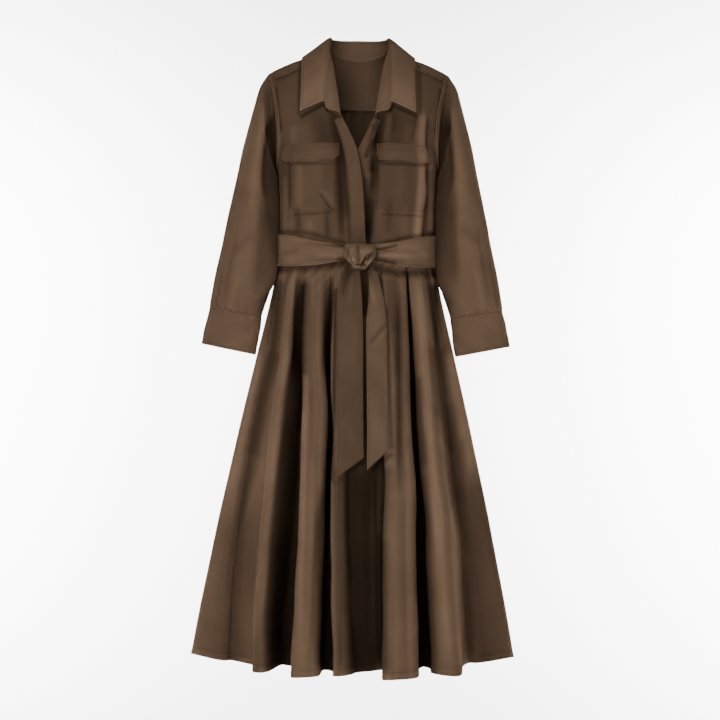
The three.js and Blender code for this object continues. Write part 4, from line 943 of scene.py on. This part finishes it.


# Painted shade: share of the light that reaches each place of a folded plan past the folds to its left and right,
# multiplied into the colour
def fold_shade(across, out):
    shade = []
    for x, y in zip(across, out):
        apart = x[None, :] - x[:, None]
        rise = (y[None, :] - y[:, None]) / np.maximum(np.abs(apart), 1.0)
        rise = np.where(np.abs(apart) < 2.5, 0, rise)
        right = np.max(np.where(apart > 0, rise, 0), 1)
        left = np.max(np.where(apart < 0, rise, 0), 1)
        hidden = (np.sin(np.arctan(right)) + np.sin(np.arctan(left))) / 2
        shade.append(1 - hidden)
    shade = np.array(shade)
    for axis, passes in ((0, 4), (1, 3)):
        for _ in range(passes):
            padded = np.pad(shade, [(1, 1) if a == axis else (0, 0) for a in (0, 1)], mode="edge")
            before, after = np.take(padded, range(shade.shape[axis]), axis), np.take(padded, range(2, shade.shape[axis] + 2), axis)
            shade = (before + 2 * shade + after) / 4
    return 0.075 + 0.925 * smoothstep(shade, 0.02, 0.56)


SKIRT_STEPS = 8
SKIRT_ROWS = 124


def make_skirt(name, folds, marks, face, seed):
    levels = WAIST_Z - SEAM_GAP / 2 + (HEM_Z - WAIST_Z + SEAM_GAP / 2) * np.linspace(0, 1, SKIRT_ROWS) ** 1.15
    outwards = -1 if face == "front" else 1
    start = np.sign(folds["hem"][0])
    hem_reach = SKIRT[face][0]
    grid = []
    for z in levels:
        half = skirt_half(z)
        reach = follow(SKIRT, "z", face, z)
        open_share = follow(SKIRT, "z", "fold", z)
        down = (WAIST_Z - z) / (WAIST_Z - HEM_Z)
        points = [(start * half, 0.0)]
        for waist, middle, hem, half_waist, half_hem, left, crown, right, under in zip(*folds.values()):
            wide = mix(half_waist, half_hem, down)
            sway = 2.0 * smoothstep(down, 0.03, 0.3) * wander(z + 0.8 * hem, seed, 560)
            for step, out in ((start, left), (0, crown), (-start, right)):
                x = fold_x(waist, middle, hem, z) + step * wide + sway
                hem_x = hem + step * half_hem
                extra = out - hem_reach * roundness(hem_x / SKIRT["half"][0])
                y = reach * roundness(x / half) + extra * open_share
                y = max(y, (half - abs(x)) / 2)
                if under and step == start:
                    valley = abs(points[-1][1])
                    points.append((x - start * under * open_share, outwards * mix(valley, y, 0.5)))
                points.append((x, outwards * y))
        points.append((-start * half, 0.0))
        curve = through(np.array(points), SKIRT_STEPS)
        y = outwards * (np.maximum(outwards * curve[:, 1], 0) + SEAM_GAP / 2)
        grid.append(np.stack([curve[:, 0], y, np.full(len(curve), z)], -1))
    grid = np.array(grid)
    z = grid[..., 2]
    lengths = arc_lengths(grid, 1)
    top = np.exp(-((z - WAIST_Z + 20) / 60) ** 2)
    gather = 1.3 * top * np.sin(lengths / 3.4 + 0.9 * wander(lengths, seed, 160))
    sides = smoothstep(np.minimum(lengths, lengths[:, -1:] - lengths), 0, 14)
    hem = 0.45 * (1 - smoothstep(z, HEM_Z + 13, HEM_Z + 17)) - 0.5 * np.exp(-((z - HEM_Z - 15) / 2.5) ** 2)
    sculpt = gather * sides + hem + creases(marks, grid[..., 0], z) * sides
    # Faint uneven streaks of painted shade run down the folds, in place of fine vertical wrinkles
    place = 4.7 * np.arange(grid.shape[1]) + 0.004 * z
    streaks = 1 + 0.03 * wander(place, seed + 5, 26) + 0.03 * wander(place, seed + 9, 70)
    shade = fold_shade(grid[..., 0], outwards * grid[..., 1]) * streaks
    # Painted shadows below the belt and beside the tails, and broad painted shade over the valleys and side panels
    if face == "front":
        shade = shade * contact(SKIRT_SHADOWS, grid)
    return shell(name, grid, 0, WALL, from_axis, sculpt=sculpt, shade=shade)


BELT_CREASES = table(
    CREASE_COLUMNS,
    (-22, -399, -64, -392, 3.0, -3.4), (-60, -394, -110, -388, 5, -1.8), (-24, -416, -80, -412, 5, 2.0),
    (-22, -421, -96, -424, 3.0, -1.8), (42, -407, 84, -399, 3.4, -3.2), (38, -418, 100, -426, 4.0, -3.4),
    (44, -424, 74, -438, 3.0, -3.0), (60, -402, 132, -392, 6, 1.8), (50, -412, 120, -414, 6, 2.0),
    (84, -436, 140, -430, 5, -1.2), (-120, -402, -152, -410, 8, -1.4), (-100, -416, -150, -420, 6, 1.2),
)


def make_belt():
    t = np.linspace(0, 1, 34)[:, None]
    turn = (2 * math.pi * np.arange(360) / 360)[None, :]
    across = np.sin(turn)
    front = np.cos(turn) > 0
    place = np.where(front, np.abs(across) * WAIST_HALF, WAIST_HALF)
    z = mix(follow(BELT, "x", "bottom", place), follow(BELT, "x", "top", place), t)
    level = np.maximum(z, WAIST_Z)
    half = half_width(level) + BELT_OUT["side"]
    out = mix(BELT_OUT["bottom"], BELT_OUT["top"], t)
    reach = np.where(front, follow(BODICE, "z", "front", level), follow(BODICE, "z", "back", level)) + out
    degrees = np.degrees(np.arcsin(np.abs(across)))
    deep = np.maximum(np.cos(np.radians(degrees)), 0) ** (2 / SECTION_POWER)
    x = np.sign(across) * half * section_across(degrees)
    y = np.where(front, -1, 1) * reach * deep
    grid = np.stack([x, y, z], -1)
    near_knot = np.exp(-((np.abs(grid[..., 0] - 8)) / 95) ** 2) * np.where(front, 1, 0)
    # Soft wrinkles run along the belt and meet at the knot
    spread = (t - 0.5) * (1.2 + np.abs(grid[..., 0] - 8) / 70)
    ripples = np.sin(spread * 5 + np.where(x < 8, 0.8, 2.9) + 0.4 * wander(x, 21, 260))
    sculpt = 1.0 * near_knot * ripples * smoothstep(np.minimum(t, 1 - t), 0, 0.12)
    sculpt = sculpt + creases(BELT_CREASES, x, z) * front * smoothstep(np.minimum(t, 1 - t), 0, 0.06)
    sculpt = sculpt + 0.5 * wander(x + 30 * t, 24, 240) * smoothstep(np.minimum(t, 1 - t), 0, 0.2)
    # Painted shadows and highlights on the front of the belt, beside the knot
    shade = np.where(front, contact(BELT_SHADOWS, grid), 1)
    return shell("cloth_belt_band", grid, 0, BELT_THICK, from_axis, closed=True, sculpt=sculpt, shade=shade)


def make_knot():
    rings, sides = 76, 124
    up = np.sin(np.linspace(-math.pi / 2, math.pi / 2, rings))[:, None]
    up[0], up[-1] = -0.9999, 0.9999
    turn = (2 * math.pi * np.arange(sides) / sides)[None, :]
    wide = mix(12.0, 32.5, smoothstep(up, -1.0, 0.15)) * (1 - np.abs(up) ** 16) ** 0.5
    deep = KNOT["half_deep"] * (1 - np.abs(up) ** 3.2) ** 0.5
    front = np.sin(turn)
    x = wide * np.sign(np.cos(turn)) * np.abs(np.cos(turn)) ** 0.8
    y = -deep * np.sign(front) * np.abs(front) ** 0.75 * np.where(front > 0, 1.15, 0.95)
    z = KNOT["half_high"] * 1.04 * up + 0 * turn - 0.05 * x * (up > 0) * up
    grid = np.stack([KNOT["x"] + x, KNOT["y"] + y, KNOT["z"] + z], -1)
    centre = lambda g: g - (KNOT["x"], KNOT["y"], KNOT["z"])
    folds = table(
        "x0 z0 x1 z1 wide deep",
        (-6, 26, -3, -12, 3.2, -2.6), (18, 4, 12, -8, 2.6, -4.2), (12, 0, 7, -13, 1.8, -3.6),
        (6, -8, 4, -19, 2.4, -3.8), (16, 0, 8, -15, 1.5, 2.2), (8, 2, 3, -11, 1.5, 2.0),
        (23, -3, 12, -19, 2.0, 2.0), (-15, -3, -14, -7, 2.4, 2.6), (-10, -22, 14, -23, 2.4, 2.4),
        (-9, -17, 10, -18, 1.8, -3.0), (-18, 18, -20, -2, 5, 1.4), (10, 20, 16, 8, 6, 1.4),
        (27, 10, 22, -6, 3, -2.0), (-26, 12, -16, -14, 2.4, -1.8), (2, 14, 4, 0, 3, 1.4),
    )
    sculpt = creases(folds, x, z, 0.12) * np.clip(front * 3, 0, 1)
    sculpt = sculpt + 0.5 * wander(x + 0.6 * z, 31, 60) * (1 - up ** 2)
    # Painted shadows and highlights in the knot's folds
    shade = np.where(front > 0, contact(KNOT_SHADOWS, np.stack([x, y, z], -1)), 1)
    return shell("cloth_belt_knot", grid, -1.5, 1.5, centre, closed=True, sculpt=sculpt, shade=shade)


def make_tail(name, rows, bow, twist, seed, light):
    t = np.linspace(0, 1, 120)[:, None]
    s = np.linspace(0, 1, 30)[None, :]
    top, tip = rows["z"][0], rows["z"][-1]
    z = mix(top, tip + TAIL_SLANT * s, t)
    x = mix(follow(rows, "z", "left", z), follow(rows, "z", "right", z), s)
    y = -follow(rows, "z", "out", z) - bow * np.sin(math.pi * s) * (1 - 0.6 * t)
    grid = np.stack([x, y, z], -1)
    sculpt = creases(twist, x, z) + 0.7 * wander(z + 40 * s, seed, 300) * smoothstep(np.minimum(s, 1 - s), 0, 0.3)
    # Painted shadow at the top of each tail, under the knot; light is a painted shade for the whole tail
    top_dark = 1 - 0.5 * np.exp(-((t * 370) / 26) ** 2) * (1 - s)
    return shell(name, grid, 0, TAIL_THICK, forwards, sculpt=sculpt, shade=light * top_dark)


TWIST_RIGHT = table(CREASE_COLUMNS, (-16, -447, -30, -500, 4, -2.5), (-6, -450, -14, -520, 5, 2.0))
TWIST_LEFT = table(
    CREASE_COLUMNS,
    (26, -596, 60, -556, 4, -3.0), (30, -606, 62, -566, 5, 1.6), (22, -450, 40, -520, 5, 2.4),
    (14, -470, 22, -540, 4, -2.0),
)

pieces = {}


def keep(piece, node):
    pieces[node] = piece
    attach(piece, "root")
    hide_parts(node)


def build_pieces():
    keep(make_yoke(), "yoke")
    for piece in make_fronts():
        keep(piece, piece.name.replace("cloth_", "", 1))
    keep(make_back(), "back")
    for piece in make_collar():
        keep(piece, piece.name.replace("cloth_", "", 1))
    for word, side in (("right", -1), ("left", 1)):
        keep(make_pocket(word, side), f"pocket_{word}")
        keep(make_flap(word, side), f"flap_{word}")
        keep(make_sleeve(word, side), f"sleeve_{word}")
        keep(make_cuff(word, side), f"cuff_{word}")
    keep(make_skirt("cloth_skirt_front", SKIRT_FRONT_FOLDS, SKIRT_FRONT_CREASES, "front", 40), "skirt_front")
    keep(make_skirt("cloth_skirt_back", SKIRT_BACK_FOLDS, SKIRT_BACK_CREASES, "back", 60), "skirt_back")
    keep(make_belt(), "belt_band")
    keep(make_knot(), "belt_knot")
    keep(make_tail("cloth_belt_tail_right", TAIL_RIGHT, 6, TWIST_RIGHT, 71, 0.66), "belt_tail_right")
    keep(make_tail("cloth_belt_tail_left", TAIL_LEFT, 4, TWIST_LEFT, 74, 0.84), "belt_tail_left")


build_pieces()


# Materials
def add_node(tree, kind, place=(0, 0), **settings):
    node = tree.nodes.new(kind)
    node.location = place
    for key, value in settings.items():
        setattr(node, key, value)
    return node


def calc(tree, operation, a, b=None):
    node = add_node(tree, "ShaderNodeMath", operation=operation)
    for socket, value in zip(node.inputs, (a, b)):
        if value is None:
            continue
        if isinstance(value, (int, float)):
            socket.default_value = value
        else:
            tree.links.new(value, socket)
    return node.outputs[0]


def twill_group():
    tree = bpy.data.node_groups.new("twill", "ShaderNodeTree")
    for name, kind, value in (
        ("Colour", "NodeSocketColor", (0.1, 0.06, 0.04, 1)),
        ("Deep colour", "NodeSocketColor", (0.05, 0.03, 0.02, 1)),
        ("Pitch", "NodeSocketFloat", 0.0006),
        ("Relief", "NodeSocketFloat", 0.2),
        ("Wear", "NodeSocketFloat", 0.3),
    ):
        socket = tree.interface.new_socket(name=name, in_out="INPUT", socket_type=kind)
        socket.default_value = value
    for name, kind in (("Colour", "NodeSocketColor"), ("Roughness", "NodeSocketFloat"), ("Normal", "NodeSocketVector")):
        tree.interface.new_socket(name=name, in_out="OUTPUT", socket_type=kind)
    inputs = add_node(tree, "NodeGroupInput")
    outputs = add_node(tree, "NodeGroupOutput")
    uv = add_node(tree, "ShaderNodeUVMap", uv_map="cloth")
    split = add_node(tree, "ShaderNodeSeparateXYZ")
    tree.links.new(uv.outputs[0], split.inputs[0])
    u, v = split.outputs[0], split.outputs[1]
    per_turn = calc(tree, "DIVIDE", 2 * math.pi, inputs.outputs["Pitch"])
    rib = calc(tree, "SINE", calc(tree, "MULTIPLY", calc(tree, "ADD", u, v), per_turn))
    yarn = calc(tree, "SINE", calc(tree, "MULTIPLY", calc(tree, "SUBTRACT", u, v), per_turn))
    weave = calc(tree, "MULTIPLY", rib, calc(tree, "MULTIPLY_ADD", yarn, 0.3))
    weave.node.inputs[1].default_value = 0.7
    place = add_node(tree, "ShaderNodeTexCoord")
    stretch = add_node(tree, "ShaderNodeMapping")
    stretch.inputs["Scale"].default_value = (2600, 70, 1)
    tree.links.new(uv.outputs[0], stretch.inputs["Vector"])
    slub = add_node(tree, "ShaderNodeTexNoise")
    slub.inputs["Scale"].default_value = 1.0
    slub.inputs["Detail"].default_value = 2.0
    tree.links.new(stretch.outputs[0], slub.inputs["Vector"])
    broad = add_node(tree, "ShaderNodeTexNoise")
    broad.inputs["Scale"].default_value = 9.0
    broad.inputs["Detail"].default_value = 3.0
    tree.links.new(place.outputs["Object"], broad.inputs["Vector"])
    fine = add_node(tree, "ShaderNodeTexNoise")
    fine.inputs["Scale"].default_value = 700.0
    fine.inputs["Detail"].default_value = 2.0
    tree.links.new(place.outputs["Object"], fine.inputs["Vector"])
    tone = calc(tree, "ADD", calc(tree, "MULTIPLY", broad.outputs[0], 0.9), calc(tree, "MULTIPLY", slub.outputs[0], 0.35))
    tone = calc(tree, "ADD", tone, calc(tree, "MULTIPLY", fine.outputs[0], 0.2))
    ramp = add_node(tree, "ShaderNodeMapRange")
    tree.links.new(tone, ramp.inputs["Value"])
    ramp.inputs["From Min"].default_value = 0.45
    ramp.inputs["From Max"].default_value = 0.95
    cloth_mix = add_node(tree, "ShaderNodeMix", data_type="RGBA")
    tree.links.new(ramp.outputs[0], cloth_mix.inputs["Factor"])
    tree.links.new(inputs.outputs["Deep colour"], cloth_mix.inputs[6])
    tree.links.new(inputs.outputs["Colour"], cloth_mix.inputs[7])
    # The colour is multiplied by the shade attribute, the painted shade and painted highlights of each piece
    shade = add_node(tree, "ShaderNodeAttribute", attribute_name="shade")
    shaded = add_node(tree, "ShaderNodeMix", data_type="RGBA", blend_type="MULTIPLY")
    shaded.inputs["Factor"].default_value = 1.0
    tree.links.new(cloth_mix.outputs[2], shaded.inputs[6])
    tree.links.new(shade.outputs["Fac"], shaded.inputs[7])
    # Folded edges are a little paler from wear
    edge = add_node(tree, "ShaderNodeAttribute", attribute_name="edge")
    near = add_node(tree, "ShaderNodeMapRange")
    tree.links.new(edge.outputs["Fac"], near.inputs["Value"])
    near.inputs["From Min"].default_value = 0.0
    near.inputs["From Max"].default_value = 0.0022
    near.inputs["To Min"].default_value = 1.0
    near.inputs["To Max"].default_value = 0.0
    worn = calc(tree, "MULTIPLY", near.outputs[0], inputs.outputs["Wear"])
    pale = add_node(tree, "ShaderNodeMix", data_type="RGBA", blend_type="ADD")
    tree.links.new(worn, pale.inputs["Factor"])
    tree.links.new(shaded.outputs[2], pale.inputs[6])
    tree.links.new(inputs.outputs["Colour"], pale.inputs[7])
    rough = add_node(tree, "ShaderNodeMapRange")
    tree.links.new(broad.outputs[0], rough.inputs["Value"])
    rough.inputs["To Min"].default_value = 0.5
    rough.inputs["To Max"].default_value = 0.66
    height = calc(tree, "ADD", calc(tree, "MULTIPLY", weave, 0.6), calc(tree, "MULTIPLY", fine.outputs[0], 0.7))
    bump = add_node(tree, "ShaderNodeBump")
    bump.inputs["Distance"].default_value = 0.00015
    tree.links.new(inputs.outputs["Relief"], bump.inputs["Strength"])
    tree.links.new(height, bump.inputs["Height"])
    tree.links.new(pale.outputs[2], outputs.inputs["Colour"])
    tree.links.new(rough.outputs[0], outputs.inputs["Roughness"])
    tree.links.new(bump.outputs[0], outputs.inputs["Normal"])
    return tree


TWILL = twill_group()


def cloth_material(name, colour, deep, pitch=0.0006, relief=0.35, wear=0.25):
    material = bpy.data.materials.new(name)
    material.use_nodes = True
    tree = material.node_tree
    shader = tree.nodes["Principled BSDF"]
    group = add_node(tree, "ShaderNodeGroup", (-300, 0), node_tree=TWILL)
    group.inputs["Colour"].default_value = (*colour, 1)
    group.inputs["Deep colour"].default_value = (*deep, 1)
    group.inputs["Pitch"].default_value = pitch
    group.inputs["Relief"].default_value = relief
    group.inputs["Wear"].default_value = wear
    tree.links.new(group.outputs["Colour"], shader.inputs["Base Color"])
    tree.links.new(group.outputs["Roughness"], shader.inputs["Roughness"])
    tree.links.new(group.outputs["Normal"], shader.inputs["Normal"])
    shader.inputs["Sheen Weight"].default_value = 0.0
    shader.inputs["Sheen Roughness"].default_value = 0.4
    shader.inputs["Sheen Tint"].default_value = (0.9, 0.75, 0.6, 1)
    shader.inputs["Specular IOR Level"].default_value = 0.0
    return material


CLOTH = cloth_material("cloth", (0.116, 0.074, 0.047), (0.091, 0.058, 0.037))
BELT_CLOTH = cloth_material("belt_cloth", (0.119, 0.077, 0.049), (0.095, 0.061, 0.039), relief=0.3, wear=0.2)
THREAD = cloth_material("thread", (0.100, 0.064, 0.040), (0.080, 0.051, 0.032), relief=0.0, wear=0.0)
for node, piece in pieces.items():
    piece.data.materials.append(BELT_CLOTH if node.startswith("belt") else CLOTH)


# Stitching: one small shape repeated along lines on the cloth, a set distance in from its borders
STITCH_PITCH = 3.2
STITCH_SIZE = (0.0023, 0.0005, 0.0005)
# piece, border that the line follows, distance from it in mm, share of the border where it starts and ends
STITCH_LINES = [
    ("placket_right", "right", 2.5, 0, 1), ("placket_left", "right", 2.5, 0, 1),
    ("collar_fall", "last", 5, 0.01, 0.99), ("collar_fall", "left", 5, 0.2, 0.96),
    ("collar_fall", "right", 5, 0.2, 0.96), ("collar_stand", "first", 2.5, 0.04, 0.96),
    ("yoke", "first", 2.5, 0, 1), ("yoke", "last", 2.5, 0, 0.33), ("yoke", "last", 2.5, 0.67, 1),
    ("skirt_front", "last", 14, 0, 1), ("skirt_back", "last", 14, 0, 1),
    ("belt_band", "first", 3, 0, 1), ("belt_band", "last", 3, 0, 1),
]
for word in ("right", "left"):
    STITCH_LINES += [
        (f"pocket_{word}", "last", 2, 0.02, 0.98), (f"pocket_{word}", "left", 2, 0, 0.98),
        (f"pocket_{word}", "right", 2, 0, 0.98), (f"flap_{word}", "last", 2.5, 0.02, 0.98),
        (f"flap_{word}", "left", 2.5, 0, 0.95), (f"flap_{word}", "right", 2.5, 0, 0.95),
        (f"flap_{word}", "first", 2.5, 0, 1), (f"cuff_{word}", "last", 6, 0, 1),
        (f"cuff_{word}", "first", 2, 0, 1), (f"belt_tail_{word}", "left", 3, 0.06, 0.98),
        (f"belt_tail_{word}", "right", 3, 0.06, 0.98), (f"belt_tail_{word}", "last", 3, 0.05, 0.95),
    ]


def stitch_places(node, border, inset, start, end):
    grid, normals = SURFACES[pieces[node].name]
    if border in ("left", "right"):
        grid, normals = np.swapaxes(grid, 0, 1), np.swapaxes(normals, 0, 1)
    if border in ("last", "right"):
        grid, normals = grid[::-1], normals[::-1]
    down = arc_lengths(grid, 0)
    at = np.array([np.interp(inset, column, np.arange(len(grid))) for column in down.T])
    low = np.minimum(at.astype(int), len(grid) - 2)
    share = (at - low)[:, None]
    columns = np.arange(grid.shape[1])
    line = mix(grid[low, columns], grid[low + 1, columns], share)
    facing = mix(normals[low, columns], normals[low + 1, columns], share)
    run = np.concatenate([[0], np.cumsum(np.linalg.norm(np.diff(line, axis=0), axis=1))])
    stops = np.arange(start * run[-1] + STITCH_PITCH / 2, end * run[-1], STITCH_PITCH)
    pick = lambda values, where: np.stack([np.interp(where, run, values[:, k]) for k in range(3)], 1)
    places = pick(line, stops)
    along = unit(pick(line, stops + 0.8) - pick(line, stops - 0.8))
    return places, along, unit(pick(facing, stops))


def stitch_group():
    group = bpy.data.node_groups.new("stitches", "GeometryNodeTree")
    for socket, kind in (
        ("Geometry", "Geometry"), ("Size", "Vector"), ("Material", "Material"),
    ):
        group.interface.new_socket(name=socket, in_out="INPUT", socket_type=f"NodeSocket{kind}")
    group.interface.new_socket(name="Geometry", in_out="OUTPUT", socket_type="NodeSocketGeometry")
    given = add_node(group, "NodeGroupInput")
    result = add_node(group, "NodeGroupOutput")
    bead = add_node(group, "GeometryNodeMeshIcoSphere")
    bead.inputs["Radius"].default_value = 0.5
    bead.inputs["Subdivisions"].default_value = 1
    axes = []
    for name in ("along", "off"):
        axis = add_node(group, "GeometryNodeInputNamedAttribute", data_type="FLOAT_VECTOR")
        axis.inputs["Name"].default_value = name
        axes.append(axis.outputs["Attribute"])
    turn = add_node(group, "FunctionNodeAxesToRotation", primary_axis="X", secondary_axis="Z")
    group.links.new(axes[0], turn.inputs[0])
    group.links.new(axes[1], turn.inputs[1])
    spread = add_node(group, "GeometryNodeInstanceOnPoints")
    group.links.new(given.outputs["Geometry"], spread.inputs["Points"])
    group.links.new(bead.outputs["Mesh"], spread.inputs["Instance"])
    group.links.new(turn.outputs[0], spread.inputs["Rotation"])
    group.links.new(given.outputs["Size"], spread.inputs["Scale"])
    solid = add_node(group, "GeometryNodeRealizeInstances")
    group.links.new(spread.outputs["Instances"], solid.inputs["Geometry"])
    paint = add_node(group, "GeometryNodeSetMaterial")
    group.links.new(solid.outputs["Geometry"], paint.inputs["Geometry"])
    group.links.new(given.outputs["Material"], paint.inputs["Material"])
    group.links.new(paint.outputs["Geometry"], result.inputs["Geometry"])
    return group


def make_stitches():
    runs = [stitch_places(*line) for line in STITCH_LINES]
    places, along, off = (np.concatenate([run[k] for run in runs]) for k in range(3))
    mesh = bpy.data.meshes.new("stitches")
    mesh.vertices.add(len(places))
    mesh.vertices.foreach_set("co", ((places + off * 0.1) * MM).astype(np.float32).ravel())
    for name, vectors in (("along", along), ("off", off)):
        attribute = mesh.attributes.new(name, "FLOAT_VECTOR", "POINT")
        attribute.data.foreach_set("vector", vectors.astype(np.float32).ravel())
    stitches = new_object("stitches", mesh)
    group = stitch_group()
    modifier = stitches.modifiers.new("stitches", "NODES")
    modifier.node_group = group
    inputs = {item.name: item.identifier for item in group.interface.items_tree if item.in_out == "INPUT"}
    modifier[inputs["Size"]] = STITCH_SIZE
    modifier[inputs["Material"]] = THREAD
    bpy.context.view_layer.update()
    shown = stitches.evaluated_get(bpy.context.evaluated_depsgraph_get())
    finished = bpy.data.meshes.new_from_object(shown)
    stitches.modifiers.remove(modifier)
    stitches.data = finished
    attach(stitches, "root")


make_stitches()

# The flat size that each piece was cut to, in metres, its flat area, how it is held and on what
FRONTS = ["front_right", "front_left"]
SHEETS = [
    ("yoke", 0.568, 0.190, 0.0714, "hung", []),
    ("back", 0.438, 0.332, 0.1319, "hung", ["yoke"]),
    ("collar_stand", 0.615, 0.045, 0.0160, "folded", ["yoke"]),
    ("collar_fall", 0.691, 0.090, 0.0460, "folded", ["collar_stand"]),
    ("placket_right", 0.030, 0.272, 0.0075, "hung", ["front_right"]),
    ("placket_left", 0.024, 0.273, 0.0060, "hung", ["front_left"]),
    ("skirt_front", 1.450, 0.862, 0.8980, "gathered", FRONTS),
    ("skirt_back", 1.360, 0.862, 0.8190, "gathered", ["back"]),
    ("belt_band", 0.877, 0.061, 0.0531, "folded", FRONTS + ["back"]),
    ("belt_knot", 0.163, 0.090, 0.0094, "folded", ["belt_band"]),
    ("belt_tail_right", 0.068, 0.402, 0.0226, "hung", ["belt_knot"]),
    ("belt_tail_left", 0.058, 0.389, 0.0181, "hung", ["belt_knot"]),
]
for word in ("right", "left"):
    SHEETS += [
        (f"front_{word}", 0.241, 0.416, 0.0781, "hung", ["yoke"]),
        (f"pocket_{word}", 0.118, 0.112, 0.0124, "laid", [f"front_{word}"]),
        (f"flap_{word}", 0.146, 0.037, 0.0049, "laid", [f"front_{word}"]),
        (f"sleeve_{word}", 0.527, 0.440, 0.1771, "hung", ["yoke"]),
        (f"cuff_{word}", 0.275, 0.080, 0.0218, "hung", [f"sleeve_{word}"]),
    ]


# Light and stage
def area_light(name, place, target, size, power, colour=(1, 1, 1)):
    data = bpy.data.lights.new(name, "AREA")
    data.shape = "DISK"
    data.size = size
    data.energy = power
    data.color = colour
    light = bpy.data.objects.new(name, data)
    scene.collection.objects.link(light)
    direction = np.array(target, float) - np.array(place, float)
    z_axis = unit(-direction)
    x_axis = unit(np.cross((0, 0, 1), z_axis))
    y_axis = np.cross(z_axis, x_axis)
    matrix = Matrix.Identity(4)
    for k in range(3):
        matrix[k][0], matrix[k][1], matrix[k][2], matrix[k][3] = x_axis[k], y_axis[k], z_axis[k], place[k]
    light.matrix_world = matrix


def add_stage():
    profile = [(-6.0, -1.62), (0.6, -1.62)]
    for turn in np.linspace(0, math.pi / 2, 24)[1:]:
        profile.append((0.6 + 1.2 * math.sin(turn), -1.62 + 1.2 * (1 - math.cos(turn))))
    profile.append((1.8, 4.0))
    coords = [(x, y, z) for y, z in profile for x in (-7.0, 7.0)]
    faces = [(2 * k, 2 * k + 1, 2 * k + 3, 2 * k + 2) for k in range(len(profile) - 1)]
    mesh = bpy.data.meshes.new("sweep")
    mesh.from_pydata(coords, [], faces)
    for face in mesh.polygons:
        face.use_smooth = True
    sweep = new_object("sweep", mesh)
    material = bpy.data.materials.new("pale_floor")
    material.use_nodes = True
    shader = material.node_tree.nodes["Principled BSDF"]
    shader.inputs["Base Color"].default_value = (0.93, 0.93, 0.93, 1)
    shader.inputs["Roughness"].default_value = 0.9
    mesh.materials.append(material)
    world = bpy.data.worlds.new("studio")
    world.use_nodes = True
    world.node_tree.nodes["Background"].inputs["Color"].default_value = (1, 1, 1, 1)
    world.node_tree.nodes["Background"].inputs["Strength"].default_value = 0.12
    scene.world = world
    area_light("key", (-0.6, -3.3, -0.3), (0, 0, -0.7), 1.4, 84)
    area_light("fill", (1.4, -3.1, -0.2), (0, 0, -0.7), 1.4, 14)
    area_light("top", (0, -1.7, 1.9), (0, 0, -0.1), 1.0, 14)
    area_light("wall_left", (-1.7, 0.55, -0.3), (-1.2, 1.8, -0.6), 1.0, 270)
    area_light("wall_right", (1.7, 0.55, -0.3), (1.2, 1.8, -0.6), 1.0, 270)


add_stage()
